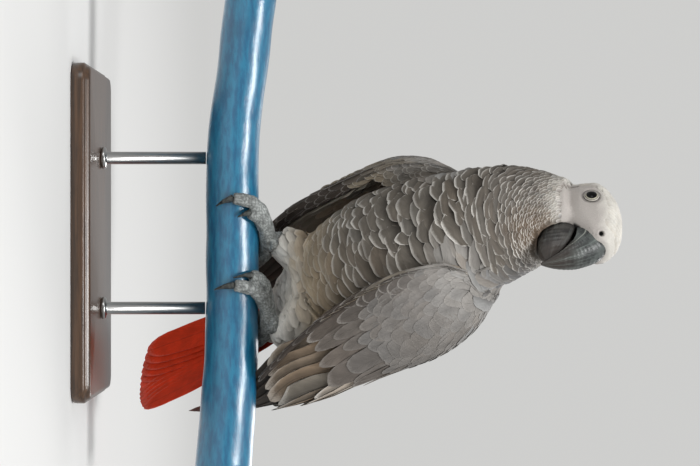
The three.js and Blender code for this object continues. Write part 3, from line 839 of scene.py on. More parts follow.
def saddle():
    """Small feathers that close the coat where the back meets the upper edges of the wings."""
    aside, behind, at = axes(BODY.into(cover.points))
    near = (at > SADDLE["low"]) & (at < SADDLE["high"]) & (behind > SADDLE["behind"])
    near &= (np.abs(aside) > SADDLE["inner"]) & (np.abs(aside) < SADDLE["outer"])
    points = cover.points[near]
    cells = np.unique(np.floor(points / SADDLE["apart"]).astype(int), axis=0, return_index=True)[1]
    place, normal = points[cells], cover.normals[near][cells]
    ahead = flow_on(place, normal)
    count = len(place)
    sizes = (np.full(count, v) for v in (SADDLE["length"], SADDLE["width"], 1.0, 0.2))
    grid = vane_grid(8, 9)
    top, bottom, sound = fitted(cover, (place, ahead, np.cross(normal, ahead), *sizes), grid)
    tint = jittered(np.tile(mixed(COVERT, MANTLE, 0.5), (count, 1)), 0.03)[sound]
    bake = (on_unwrap(place[sound]), BAKED_VANE)
    vane_mesh("coat_saddle", top[sound], bottom[sound], grid, tint, 0.1, bake, plumage, "feather_body")


coat()
saddle()


# ---- Skin ----

EYE = {"radius": 5.4, "aside": 16.2, "ahead": 3, "above": -2.6}
LID = {"radius": 4.35, "aside": 19.35, "tube": 0.5, "skin": 19.2}
NOSTRIL = {"aside": 12.6, "ahead": 30.6, "above": 1.9, "radius": 1.5, "deep": 2.4}
GAPE = {"ahead": 24, "above": -13.5}  # where painted shade darkens the corners of the mouth
FACE_MIDDLE = (0, -18, -4)
FACE_REACH = 30
CERE_SPOT = (-13, -30, -5)  # the specks beside the bill lie round it
SCALE = 2.2  # how far apart the scales of the feet are


def socketed(points):
    """The skin's points with the sockets that hold the eyes pressed in and the nostrils opened, and how far
    each lies in a nostril, for the nostrils' painted shade.
    """
    local = HEAD.into(points)
    side, back, up = local.T
    across = np.hypot(-back - EYE["ahead"], up - EYE["above"])
    ball = EYE["aside"] + np.sqrt(np.clip((EYE["radius"] - 0.4) ** 2 - across**2, 0, None))
    furrow = 0.3 * np.exp(-(((across - 6.7) / 0.55) ** 2))
    wanted = mixed(LID["skin"] - furrow, ball, smooth(across, 5.2, 4.4))
    share = smooth(across, 9.5, 5.6) * (np.abs(side) > 10)
    local[:, 0] = mixed(side, np.sign(side) * wanted, share)
    nostril_shade = np.zeros(len(points))
    for sign, _ in SIDES:
        centre = HEAD.out([sign * NOSTRIL["aside"], -NOSTRIL["ahead"], NOSTRIL["above"]])
        place, normal = form.nearest(centre[None])
        off = np.linalg.norm(points - place, axis=1)
        inward = HEAD.into(HEAD.origin - normal)
        wide = NOSTRIL["radius"]
        local += (NOSTRIL["deep"] * smooth(off, wide * 1.35, wide * 0.5))[:, None] * inward
        local -= (0.35 * np.exp(-(((off - 2.6) / 0.8) ** 2)))[:, None] * inward
        # how far within the nostril, where the skin gets painted shade
        nostril_shade += smooth(off, wide * 1.25, wide * 0.75)
    return HEAD.out(local), nostril_shade


def lid_ring(side):
    """A rounded fold of skin round an eye, thicker above it."""
    turns, sides = 96, 20
    a = angles(turns)[:, None]
    b = angles(sides)[None]
    tube = LID["tube"] * (1 + 0.12 * np.sin(a) + 0.04 * np.sin(9 * a) * np.cos(b))
    reach = LID["radius"] + tube * 0.85 * np.cos(b)
    aside = side * (LID["aside"] + tube * np.sin(b))
    ahead = EYE["ahead"] + reach * np.cos(a) * 0.96
    rings = np.stack([aside, -ahead, EYE["above"] + reach * np.sin(a)], -1)
    number = np.pad(np.arange(turns * sides).reshape(turns, sides), ((0, 1), (0, 1)), "wrap")
    faces = woven(number)[:, [0, 3, 2, 1] if side < 0 else [1, 2, 3, 0]]
    inner = np.broadcast_to(smooth(np.cos(b), 0.45, 0.95), (turns, sides)).ravel()
    return HEAD.out(rings.reshape(-1, 3)), faces, inner


def scaled(feet):
    """The points of the feet with raised scales, and how near each is to the middle of its scale."""
    cells = np.unique(np.floor(feet.points / SCALE).astype(int), axis=0, return_index=True)[1]
    seeds = feet.points[cells] + RNG.uniform(-0.3, 0.3, (len(cells), 3))
    tree = KDTree(len(seeds))
    for i, seed in enumerate(seeds.tolist()):
        tree.insert(seed, i)
    tree.balance()
    found = np.array([[f[2] for f in tree.find_n(p, 2)] for p in feet.points.tolist()])
    middle = smooth(found[:, 1] - found[:, 0], 0.0, 0.8)
    rise = 0.28 * middle - 0.14
    return feet.points + feet.normals * rise[:, None], middle


def drawn_in():
    """The flesh's points and faces, drawn in by the coat's depth, with finer faces on the bare skin."""
    near_face = np.linalg.norm(HEAD.into(form.points) - FACE_MIDDLE, axis=1) < FACE_REACH
    fine_face = (bare(form.points) > 0.02) & near_face
    points, faces = refined(form.points, form_quads, fine_face, 2, 2)
    _, normals = form.nearest(points)
    depth = coat_at(points)[:, 2] * (1 - bare(points))
    return points - normals * depth[:, None], faces


def marked(points):
    """The flesh with its sockets and nostrils, and its colours: painted shade in the crease round each eye,
    in the mouth's corners and in the nostrils, and dark specks beside the bill.
    """
    tint, local = markings(points), HEAD.into(points)
    aside, ahead, up = np.abs(local[:, 0]), -local[:, 1], local[:, 2]
    gape = np.hypot(ahead - GAPE["ahead"], 1.6 * (up - GAPE["above"]))
    # painted shade in the corners of the mouth
    mouth_shade = smooth(gape, 6, 4) * smooth(aside, 13, 11)
    around = np.hypot(ahead - EYE["ahead"], up - EYE["above"])
    # painted shade: a dark ring in the crease round each eye
    eye_crease_shade = np.exp(-(((around - 5.7) / 0.5) ** 2)) * smooth(aside, 9, 11)
    tint = blended(tint, CREASE_SHADE_AND_SPECK, 0.75 * eye_crease_shade)
    points, nostril_shade = socketed(points)
    speck = smooth(ripple(points, 2.3) * ripple(points + 40, 3.1), 0.34, 0.5)
    cere = smooth(np.linalg.norm(local - CERE_SPOT, axis=1), 7, 3)
    tint = blended(tint, CREASE_SHADE_AND_SPECK, 0.6 * speck * cere)
    return points, blended(tint, HOLLOW_SHADE, np.maximum(mouth_shade, np.clip(nostril_shade, 0, 1)))


def skin_paint():
    """Fine-grained skin, blotched on the feet."""
    paint = Paint("skin", 0.62, Specular_IOR_Level=0.35)
    place = paint.place()
    grain = paint.noise(place, 1.3, 4)
    pores = paint.cells(place, 1.6)
    blotch = paint.noise(place, 0.28, 5, 0.65)
    mottle = paint.ranged(blotch, 0.32, 0.68, 0.62, 1.25)
    on_foot = paint.times(paint.value("foot"), paint.minus(mottle, 1.0))
    shade = paint.times(paint.ranged(grain, 0.2, 0.8, 0.92, 1.05), paint.plus(1.0, on_foot))
    return paint.done(paint.shaded(paint.colour("tint"), shade), paint.plus(grain, pores), 0.1)


def skin():
    """The flesh under the coat, the lids and the scaled feet, as one piece."""
    points, faces = drawn_in()
    points, tint = marked(points)
    parts = [(points, faces, tint, np.zeros(len(points)))]
    for side, _ in SIDES:
        ring, ring_faces, inner = lid_ring(side)
        parts.append((ring, ring_faces.tolist(), blended(FACE * 0.85, LID_RIM, inner), 0 * inner))
    rough, quads = remeshed(*node_mesh(FEET), FINENESS["feet"], 18)
    feet, middle = scaled(Surface(rough, halved(quads)))
    parts.append((feet, quads.tolist(), blended(FOOT * 0.5, FOOT * 1.1, middle), 1 + 0 * middle))
    faces, start = [], 0
    for points, own, _, _ in parts:
        faces += [[start + i for i in face] for face in own]
        start += len(points)
    points, _, tint, foot = zip(*parts)
    points = np.concatenate(points)
    values = {"tint": np.concatenate(tint), "foot": np.concatenate(foot)}
    uv = on_unwrap(points)
    built("skin", points, faces, skin_paint(), "feather_body", FLESH + FEET, {"OFBake": uv}, values)


skin()


# ---- Wings ----


def wing_point(side, at, share, inset):
    """A place on a wing: along the trunk, as a share from front to back edge, and as depth within it."""
    reach, deep, shift, front, back = axes(along(WING, at))
    angle = np.radians(-front + (front + back) * share)
    c, s = bent(np.cos(angle), WING_POWER), bent(np.sin(angle), WING_POWER)
    return BODY.out(np.stack([side * (reach - inset) * c, shift + (deep - inset) * s, at], -1))


ARC_AT = np.linspace(WING[0][0], WING[-1][0], 60)
arc_points = wing_point(1, ARC_AT[:, None] + np.zeros(41), np.linspace(0, 1, 41) + np.zeros((60, 1)), 0)
ARC = np.linalg.norm(np.diff(arc_points, axis=1), axis=-1).sum(1)


def wing_arc(at):
    """The wing's breadth round the trunk, from front to back edge."""
    return np.interp(at, ARC_AT, ARC)


def outside(points, rise):
    """Points moved out to at least `rise` over the body's form."""
    place, normal = form.nearest(points)
    short = rise - dot(points - place, normal)
    return points + normal * np.clip(short, 0, None)[..., None]


def settled(points, t, deep=0.0):
    """Points near the wing's top laid on its shoulder, so that feathers run from the body onto the wing."""
    place, normal = cover.nearest(points)
    share = smooth(BODY.into(points)[..., 2], 46, 58)[..., None]
    rise = (mixed(-1.5, -0.3, t) - deep)[..., None]
    return mixed(points, place + rise * normal, share)


EDGE = 0.025  # a wing's vanes are crowded together below this share, so that none hangs over its front edge


def wing_vanes(
    side, root, share, length, width, inset, grid, slant=0.0, tilt=0.5, rounding=0.4, thick=0.3, sweep=0.0
):
    """Vanes on a wing, from their roots' places along the trunk and shares of the way over the wing.

    inset is the depth within the wing of root and tip, slant the drift of the share along a vane, tilt how
    far the vane turns about its shaft, and sweep how far forward it is drawn low on the wing.
    """
    t, b = grid
    reach, beside = vane_outline(t, b, rounding, 0.5)
    at = each(root) - each(length) * reach
    arc = wing_arc(at)
    across = each(share) + each(slant) * reach * each(length) / arc + beside * each(width) / 2 / arc
    across = np.where(across < EDGE, EDGE * np.exp((across - EDGE) / EDGE), across)
    across = across - sweep * smooth(at, -40, -75) * (1 - across)
    deep = mixed(each(inset[0]), each(inset[1]), t) + tilt * b + 0.4 * tilt * b**2
    body = thick * (1 - 0.6 * b**2) * (1 - 0.8 * t) + 0.04
    return wing_point(side, at, across, deep), wing_point(side, at, across, deep + body)


COVERT_TOP = 61
# Share of the way over a wing from front to back, and where its last coverts end.
COVERT_TIPS = ((0, -32), (0.3, -50), (0.48, -58), (0.6, -38), (1, -28))


def wing_line(share, q):
    """Along the trunk, the place at a share q of the way from shoulder to the tips of the coverts."""
    return mixed(COVERT_TOP, along(COVERT_TIPS, share)[..., 0], q)


def bake_strips(count):
    """A strip of the bake map for each of a few large feathers."""
    return np.stack([(np.arange(count) + 0.5) / count, np.full(count, 0.5)], -1), np.array([0.8 / count, 0.9])


def covert_rows():
    """Rows of coverts: share of the way from shoulder to last tips, length, width, stagger, and pale edge."""
    rows = [(0.04 + 0.05 * k, 16 + 0.8 * k, 12 + 0.35 * k, k % 2, 0.003 * k) for k in range(12)]
    rows.append((0.66, 36, 14, 0, 0.05))
    rows.append((0.8, 52, 15, 1, 0.07))
    rows.append((0.98, 70, 17, 0, 0.1))
    return rows


def gathered(parts):
    """The values of several rows of vanes, as one long column of each kind."""
    return [np.concatenate(column) for column in zip(*parts)]


def coverts(side, name, paint):
    """The small feathers of a wing's outer face, with darker, pale-edged ones along its front edge."""
    parts = []
    for q, length, width, odd, pale in covert_rows():
        count = max(3, round(wing_arc(wing_line(0.5, q)) / (width * 0.7)))
        share = (np.arange(count) + 0.5 + 0.5 * (odd - 0.5)) / count
        share = share + RNG.normal(0, 0.1, count) / count
        tip = wing_line(share, q) + RNG.normal(0, 0.075 * length, count)
        inset = (np.full(count, 0.85 + 1.2 * smooth(q, 0.5, 0.9)), 0.5 + RNG.normal(0, 0.05, count))
        front = smooth(share, 0.2, 0.05) * smooth(q, 0.2, 0.4)
        tints = blended(COVERT, COVERT_LOW, smooth(q + 0.15 * share, 0.02, 0.42))
        tints = mixed(tints, GREATER, smooth(q, 0.6, 0.9))
        tints = blended(tints, PRIMARY, 0.7 * front)
        long_one = length * RNG.normal(1, 0.06, count)
        root = np.minimum(tip + long_one, 70)
        parts.append((root, share, root - tip, np.full(count, width), *inset, tints, pale + 0.3 * front))
    root, share, length, width, low, high, tint, pale = gathered(parts)
    grid = vane_grid(9, 9)
    shape = {"slant": -0.1, "tilt": 0.1, "thick": 0.18}
    top, bottom = wing_vanes(side, root, share, length, width, (low, high), grid, **shape)
    bake = (np.stack([0.03 + 0.9 * share, (root + 75) / 190], -1), 0.02)
    replaced = (f"wing_{name}_coverts",)
    title = f"wing_{name}_covert_vanes"
    top, bottom = settled(outside(top, 0.6), grid[0]), settled(outside(bottom, 0.3), grid[0], 0.15)
    vane_mesh(title, top, bottom, grid, jittered(tint, 0.03), pale, bake, paint, "feather_covert", replaced)


def lining_inset(at):
    """How deep within the wing its lining lies, under the feathers that are there."""
    return mixed(8.4, 2.8, smooth(at, -14, 30))


# Rows from the shoulder down, further and further apart; vanes are longer low on the wing than high on it.
MARGIN = {"from": 64, "rows": 13, "apart": (6, 13), "columns": 4, "length": (34, 18)}


def margin(side, name, paint):
    """The rounded leading edge of a wing, where overlapping feathers wrap round it to its lining."""
    down = MARGIN["from"] - np.cumsum(np.linspace(*MARGIN["apart"], MARGIN["rows"]))
    at, column = (g.ravel() for g in np.meshgrid(down, np.arange(MARGIN["columns"]), indexing="ij"))
    at = at + 4.5 * (column % 2) + RNG.normal(0, 1.0, len(at))
    count = len(at)
    grid = vane_grid(8, 9)
    t, b = grid
    reach, beside = vane_outline(t, b, 0.45, 0.5)
    length = each(mixed(*MARGIN["length"], smooth(at, -20, 50)) * RNG.normal(1, 0.08, count))
    here = each(at) - length * reach
    half = lining_inset(here) / 2
    turn = np.radians(each(12 + 46 * column) + 38 * beside)
    points = []
    for drop in (0.0, 0.3):
        tube = half + 0.2 - 1.0 * (1 - t) - drop
        share = (half * 1.05 - tube * np.sin(turn)) / wing_arc(here)
        points.append(outside(wing_point(side, here, share, half - tube * np.cos(turn)), 0.5 - drop))
    tint = blended(PRIMARY, LINING, smooth(at, 8, 40))
    tint = blended(tint, COVERT, smooth(at, 44, 58))
    pale = 0.22 - 0.12 * smooth(at, 12, 44)
    bake = (np.stack([0.1 + 0.15 * column, 0.5 + at / 150], -1), 0.03)
    tint = jittered(tint, 0.06)
    vane_mesh(f"wing_{name}_edge_vanes", *points, grid, tint, pale, bake, paint, "feather_covert")


FOLD = {"from": 58.0, "to": (-38, -12, 4, 10), "apart": 6, "length": 17}  # a place to end for each column


def fold(side, name, paint):
    """Soft feathers that close the gap between the upper part of a wing's front edge and the breast."""
    rows = []
    for column, end in enumerate(FOLD["to"]):
        rows += [(at, column) for at in np.arange(FOLD["from"], end, -FOLD["apart"])]
    at, column = np.array(sorted(rows, reverse=True)).T
    count = len(at)
    grid = vane_grid(9, 9)
    t, b = grid
    reach, beside = vane_outline(t, b, 0.4, 0.6)
    tip = each(at - 3 * (column % 2) + RNG.normal(0, 1.5, count))
    here = tip + FOLD["length"] - FOLD["length"] * reach
    edge = wing_point(side, here, 0.03, 0.6)
    place, _ = form.nearest(edge)
    share = (each(column) + 0.5 + 0.85 * beside) / 4
    points = blended(edge, place, share)
    ahead = -BODY.turned([0, 1, 0])
    lift = mixed(-1.4, 0.6, t) + 1.2 * np.sin(math.pi * np.clip(share, 0, 1))
    top = points + lift[..., None] * ahead
    tint = blended(COVERT, markings(place[:, 0, 0]), (column + 0.5) / 4)
    tint = blended(tint, BUFF, smooth(at, 26, 6))
    bake = (np.stack([0.1 + 0.2 * column, 0.5 + at / 150], -1), 0.03)
    title = f"wing_{name}_fold_vanes"
    tint = jittered(tint, 0.04)
    vane_mesh(title, top, top - 0.2 * ahead, grid, tint, 0.25, bake, paint, "feather_covert")


# Along the trunk and as a share of the way over the wing, and half its thickness.
SHELL = {"down": (62, -76), "share": (0.03, 0.985), "half": 0.3}
LINING_ROWS = {"from": 46, "to": -96, "apart": 14.0, "beside": 9, "length": 32, "width": 12.0}


def wing_shade_paint(name):
    """The shade inside a wing."""
    paint = Paint(f"lining_{name}", 0.8)
    wash = paint.ranged(paint.noise(paint.place(), 0.2, 4), 0.3, 0.7)
    # painted shade: the lining's tone darkened to a share of 0.12 to 0.22
    return paint.done(paint.mix(wash, LINING * 0.12, LINING * 0.22))


def lining_shell(side, name):
    """The thin shell under a wing's feathers, painted dark as the shade inside the wing."""
    down, across = np.linspace(*SHELL["down"], 60), np.linspace(*SHELL["share"], 70)
    at, share = np.meshgrid(down, across, indexing="ij")
    outer = wing_point(side, at, share, lining_inset(at) - SHELL["half"])
    inner = wing_point(side, at, share, lining_inset(at) + SHELL["half"])
    rings = np.concatenate([outer, inner[:, ::-1]], 1)
    points, faces = lofted(rings)
    if side < 0:
        faces = [f[::-1] for f in faces]
    uv = loft_map(np.linspace(0, 1, rings.shape[0])[:, None], np.linspace(0, 1, rings.shape[1]))
    maps = {"OFBake": uv}
    built(f"wing_{name}_lining", points, faces, wing_shade_paint(name), "feather_covert", maps=maps)


def lining(side, name, paint):
    """Rows of soft feathers on the inner face of a wing."""
    parts = []
    for row, tip in enumerate(np.arange(LINING_ROWS["from"], LINING_ROWS["to"], -LINING_ROWS["apart"])):
        count = round(wing_arc(tip) / LINING_ROWS["beside"])
        share = (np.arange(count) + 0.5 * (row % 2)) / count
        parts.append((np.full(count, tip), share))
    tip, share = gathered(parts)
    count = len(tip)
    length = LINING_ROWS["length"] + RNG.normal(0, 2, count)
    grid = vane_grid(9, 7)
    root = np.minimum(tip + length, 62)
    inset = (lining_inset(root) + 0.4, lining_inset(tip) + 1.6)
    share = np.clip(share, 0.05, 0.95)
    top, bottom = wing_vanes(side, root, share, length, LINING_ROWS["width"], inset, grid, tilt=0)
    tint = jittered(blended(LINING, FLIGHT, smooth(share, 0.15, 0.4)), 0.1)
    bake = (np.stack([0.05 + 0.9 * share, 0.5 + tip / 190], -1), 0.03)
    vane_mesh(f"wing_{name}_lining_vanes", top, bottom, grid, tint, 0.08, bake, paint, "feather_covert")


# The long feathers: how many, shares of the way over the wing, places of tips and roots along the trunk,
# width, and depth within the wing at root and tip.
TERTIALS = {
    "count": 8,
    "share": (0.45, 0.95),
    "tip": (-72, -104),
    "root": -6,
    "width": 19.0,
    "inset": (3.2, 1.9),
}
SECONDARIES = {
    "count": 12,
    "share": (0.07, 0.97),
    "tip": (-78, -121),
    "root": 4,
    "width": 17.0,
    "inset": (4.2, 3.3),
}
PRIMARIES = {
    "count": 9,
    "share": (0.06, 0.82),
    "tip": (-130, -181),
    "length": 110.0,
    "width": 15.0,
    "inset": (7.2, 6.4),
}


def long_vanes(title, side, sizes, share, tip, length, tint, pale, paint, slot, replaced=(), **shape):
    """A row of a wing's long feathers, with a wing_vanes `shape` of its own."""
    grid = vane_grid(16, 9)
    points = wing_vanes(side, tip + length, share, length, sizes["width"], sizes["inset"], grid, **shape)
    vane_mesh(title, *points, grid, tint, pale, bake_strips(len(share)), paint, slot, replaced)


def tertials(side, name, paint):
    """The pale long feathers next to the back."""
    count = TERTIALS["count"]
    share = np.linspace(*TERTIALS["share"], count)
    tip = mixed(*TERTIALS["tip"], np.linspace(0, 1, count)) + RNG.normal(0, 2.0, count)
    tint = jittered(np.tile(TERTIAL, (count, 1)), 0.08)
    row = (share, tip, TERTIALS["root"] - tip, tint, 0.5, paint, "feather_flight")
    long_vanes(f"wing_{name}_tertial_vanes", side, TERTIALS, *row, slant=-0.05)


def secondaries(side, name, paint):
    """The middle row of long feathers, paler towards the back."""
    count = SECONDARIES["count"]
    share = mixed(*SECONDARIES["share"], (np.arange(count) + 0.5) / count)
    tip = mixed(*SECONDARIES["tip"], share) + RNG.normal(0, 1.5, count)
    back = smooth(share, 0.6, 0.85)
    tint = jittered(blended(FLIGHT, TERTIAL, back), 0.12)
    row = (share, tip, SECONDARIES["root"] - tip, tint, 0.28 + 0.14 * back, paint, "feather_flight")
    replaced = (f"wing_{name}_secondaries",)
    long_vanes(f"wing_{name}_secondary_vanes", side, SECONDARIES, *row, replaced, sweep=0.13)


def primaries(side, name, paint):
    """The dark, narrow feathers of the wing's tip."""
    count = PRIMARIES["count"]
    share = mixed(*PRIMARIES["share"], (np.arange(count) + 0.5) / count)
    tip = mixed(*PRIMARIES["tip"], share)
    tint = jittered(np.tile(PRIMARY, (count, 1)), 0.1)
    row = (share, tip, PRIMARIES["length"], tint, 0.12, paint, "feather_primary")
    replaced = (f"wing_{name}_primaries",)
    long_vanes(f"wing_{name}_primary_vanes", side, PRIMARIES, *row, replaced, rounding=0.9, sweep=0.1)


SCAPULARS = {"beside": 7, "length": 19, "width": 11.0}
SCAPULAR_TIPS = (56, 50, 44, 37, 30, 22, 14, 6, -3, -12, -21, -29)


def scapulars(side, name, paint):
    """Long soft feathers from the shoulder that cover the wing's root and close it to the back."""
    parts = []
    for row, tip in enumerate(SCAPULAR_TIPS):
        low = 0.62 - 0.02 * row + 0.05 * max(0, row - 4)
        count = round((1 - low) * wing_arc(tip) / SCAPULARS["beside"])
        share = mixed(low, 0.99, (np.arange(count) + 0.5 * (row % 2)) / count)
        parts.append((tip - 14 * (share - 0.3) + RNG.normal(0, 1.2, count), share))
    tip, share = gathered(parts)
    count = len(tip)
    length = SCAPULARS["length"] + RNG.normal(0, 1.2, count) - 0.05 * tip
    grid = vane_grid(9, 9)
    inset = (1.2, 0.15 + RNG.normal(0, 0.08, count))
    root = np.minimum(tip + length, 74)
    top, bottom = wing_vanes(side, root, share, root - tip, SCAPULARS["width"], inset, grid, tilt=0.1)
    top, bottom = settled(outside(top, 0.7), grid[0], -0.2), settled(outside(bottom, 0.4), grid[0])
    tint = blended(mixed(COVERT, MANTLE, 0.3), COVERT_LOW, smooth(tip, 45, 5))
    bake = (np.stack([0.05 + 0.9 * share, 0.3 + tip / 150], -1), 0.03)
    tint = jittered(tint, 0.03)
    vane_mesh(f"wing_{name}_scapular_vanes", top, bottom, grid, tint, 0.03, bake, paint, "feather_covert")


soft_vane = feather_paint("coverts", 0.93, shaft=0.05, barbs=16, foot=0.93, heart=0.88)
flight_vane = feather_paint("flights", 0.88, shaft=0.25, barbs=60, foot=0.8, heart=0.55)
for side, name in SIDES:
    coverts(side, name, soft_vane)
    margin(side, name, soft_vane)
    fold(side, name, soft_vane)
    lining_shell(side, name)
    lining(side, name, soft_vane)
    tertials(side, name, flight_vane)
    secondaries(side, name, flight_vane)
    primaries(side, name, flight_vane)
    scapulars(side, name, soft_vane)


# ---- Tail ----

# Places along the trunk, and there the tail's half width and how far it lies to the back.
TAIL_SHAPE = ((-210, 34, 20), (-160, 28, 18), (-120, 22, 15), (-88, 14, 12))
TAIL = {"from": -84, "to": -207, "arch": 5, "rounding": 10, "count": 12, "width": 20.0}
TAIL_COVERTS = {"rows": 4, "columns": 7, "from": -76.0, "apart": 9, "length": 34, "width": 10.0}
RED, RED_COVERT = rgb("e63d16"), rgb("c93a1c")


def tail_vanes(title, start, length, fan, width, raised, tint, paint, grid, replaced=()):
    """Vanes of the tail from their starts along the trunk, places in the fan and height over its middle."""
    t, b = grid
    reach, beside = vane_outline(t, b, 0.2, 0.4)
    at = each(start) - each(length) * reach
    half, shift = axes(along(TAIL_SHAPE, at))
    fan = each(fan)
    aside = fan * 0.8 * half + beside * each(width) / 2
    inside = np.clip(aside / half, -1, 1)
    level = shift + TAIL["arch"] * (1 - inside**2) + each(raised) - 0.25 * b**2 + 0.35 * b * np.sign(fan)
    thick = 0.5 * (1 - 0.5 * b**2) + 0.08
    top = BODY.out(np.stack([aside, level, at], -1))
    bottom = BODY.out(np.stack([aside, level - thick, at], -1))
    tint = jittered(tint, 0.05)
    bake = bake_strips(len(tint))
    vane_mesh(title, top, bottom, grid, tint, 0.1, bake, paint, "feather_tail", replaced)


def tail():
    """Twelve broad red feathers, with short red ones over and under their roots."""
    paint = feather_paint("tail_red", 0.95, shaft=0.15, barbs=70, foot=0.85)
    count = TAIL["count"]
    fan = (np.arange(count) - (count - 1) / 2) / (count / 2)
    length = TAIL["from"] - TAIL["to"] - TAIL["rounding"] * fan**2
    red = np.tile(RED, (count, 1))
    row = (TAIL["from"], length, fan, TAIL["width"], 1.6 - 3.2 * np.abs(fan), red, paint)
    tail_vanes("tail_vanes", *row, vane_grid(16, 9), ("tail",))
    for title, height in (("tail_coverts_above", 3.2), ("tail_coverts_below", -4.2)):
        rows, columns = TAIL_COVERTS["rows"], TAIL_COVERTS["columns"]
        row, column = (g.ravel() for g in np.meshgrid(np.arange(rows), np.arange(columns), indexing="ij"))
        fan = (column - columns // 2 + 0.5 * (row % 2)) / 3.6
        start = TAIL_COVERTS["from"] - TAIL_COVERTS["apart"] * (rows - 1 - row)
        length = TAIL_COVERTS["length"] + RNG.normal(0, 1.5, len(row))
        raised = height * (1 + 0.12 * row) - 1.2 * np.abs(fan)
        red = np.tile(RED_COVERT, (len(row), 1))
        tail_vanes(title, start, length, fan, TAIL_COVERTS["width"], raised, red, paint, vane_grid(7, 7))


tail()


# ---- Bill ----

HOOK = (25, -17.5)  # ahead and above: the middle that the upper bill curves round
# Degrees of the way round HOOK, and there the bill's outer and inner reach from it and its half width.
UPPER_BILL = (
    (-42, 19.5, 6.5, 9.8),
    (-10, 22.5, 4.8, 10.6),
    (12, 24.3, 4.4, 10.7),
    (54, 19.2, 5.6, 10),
    (91, 19, 9, 8.4),
    (105, 20.6, 11.5, 6.9),
    (116, 22.4, 15.5, 5.2),
    (126, 24.4, 20.4, 3.2),
    (134, 26.4, 25, 1.1),
)
# Places ahead, and there the half width and the heights of the rim and the keel.
LOWER_BILL = (
    (12, 8.5, -13, -31),
    (18, 10.8, -13.3, -35),
    (24, 11, -14.5, -36.5),
    (30, 10, -17, -37),
    (35, 8, -20.5, -36.5),
    (39, 5, -25, -34.5),
    (41.5, 2.5, -28, -32.5),
)
# Half a section of each bill, from its ridge or keel over the cutting edge into the mouth: share of the
# way, share of the half width, and share of the half depth.
UPPER_SECTION = (
    (0, 0, 1),
    (0.1, 0.24, 0.97),
    (0.25, 0.58, 0.76),
    (0.4, 0.84, 0.36),
    (0.55, 0.98, -0.12),
    (0.68, 1.0, -0.55),
    (0.8, 0.93, -0.94),
    (0.83, 0.89, -1.0),
    (0.86, 0.82, -0.93),
    (0.92, 0.6, -0.45),
    (1, 0, -0.2),
)
LOWER_SECTION = (
    (0, 0, -1),
    (0.14, 0.36, -0.96),
    (0.3, 0.7, -0.74),
    (0.48, 0.95, -0.25),
    (0.64, 1.0, 0.3),
    (0.78, 0.94, 0.86),
    (0.82, 0.9, 0.98),
    (0.85, 0.84, 1.0),
    (0.88, 0.76, 0.9),
    (0.94, 0.5, 0.45),
    (1, 0, 0.25),
)
HALF_SIDES = 44


def both_halves(section):
    """A closed section from its half: shares of half width and half depth, and of the way round it."""
    s = np.linspace(0, 1, HALF_SIDES + 1)
    aside, high = along(section, s).T
    aside = np.concatenate([aside[:-1], -aside[:0:-1]])
    high = np.concatenate([high[:-1], high[:0:-1]])
    return aside, high, np.concatenate([s[:-1], s[:0:-1]])


def horn_piece(name, rings, round_share, length, node, paint):
    """A bill's half from its rings, with growth ridges, and a map of length and share of the way round."""
    count, sides = rings.shape[:2]
    u = np.linspace(0, 1, count)[:, None]
    centre = rings.mean(1, keepdims=True)
    ridge = 0.1 * np.sin(u * length * 2.2 + 1.2 * np.sin(9 * round_share)) * smooth(round_share, 0.85, 0.7)
    rings = rings + (unit(rings - centre) * (ridge * smooth(u, 0, 0.3) * smooth(u, 1, 0.85))[..., None])
    points, faces = lofted(rings)
    maps = {"OFBake": loft_map(u, np.arange(sides) / sides) * 0.96 + 0.02, "form": loft_map(u, round_share)}
    built(name, HEAD.out(points), faces, paint, "bill", (node,), maps)


def horn_paint(name, line, pale_streaks_and_sheen, dark, light):
    """Grey horn with streaks along its growth, the pale ones partly painted highlight, a browner tip, and a
    painted highlight along the cutting edge.
    """
    paint = Paint(name, 0.36, Specular_IOR_Level=0.5)
    u, v = paint.uv("form")[0:2]
    place = paint.place()
    cloudy = paint.noise(place, 0.2, 4)
    colour = paint.mix(paint.ranged(cloudy, 0.35, 0.65), rgb(dark), rgb(light))
    tip = paint.ranged(u, 0.5, 0.95)
    colour = paint.mix(tip, colour, rgb("352d28"))
    streak = paint.noise(paint.vector(paint.times(u, 1.8), paint.times(v, 15.0)), 1.0, 6, 0.65)
    # pale streaks along the growth, partly real and partly painted highlight on the glossy horn
    colour = paint.mix(paint.ranged(streak, 0.48, 0.7, 0, pale_streaks_and_sheen), colour, rgb("7e8782"))
    colour = paint.mix(paint.ranged(streak, 0.45, 0.3, 0, 0.6), colour, rgb("1f2121"))
    # painted highlight: a pale line along the cutting edge, set by `line`
    edge = paint.times(paint.ranged(v, 0.625, 0.64), paint.ranged(v, 0.665, 0.65))
    colour = paint.mix(paint.times(edge, line), colour, rgb("b0b3aa"))
    inside = paint.ranged(v, 0.84, 0.9)
    colour = paint.mix(inside, colour, rgb("191717"))
    return paint.done(colour, paint.plus(streak, paint.noise(place, 1.4, 4)), 0.1)


def upper_bill(paint):
    """The hooked upper half, in rings round HOOK."""
    turns = np.linspace(UPPER_BILL[0][0], UPPER_BILL[-1][0], 80)
    outer, inner, half = (c[:, None] for c in along(UPPER_BILL, turns).T)
    across, out, way = both_halves(UPPER_SECTION)
    reach = (outer + inner) / 2 + (outer - inner) / 2 * out
    turn = np.radians(turns)[:, None]
    ahead, up = HOOK[0] + reach * np.sin(turn), HOOK[1] + reach * np.cos(turn)
    rings = np.stack([half * 1.12 * across, -ahead, up], -1)
    horn_piece("beak_upper", rings, way, 60, "bill_upper", paint)


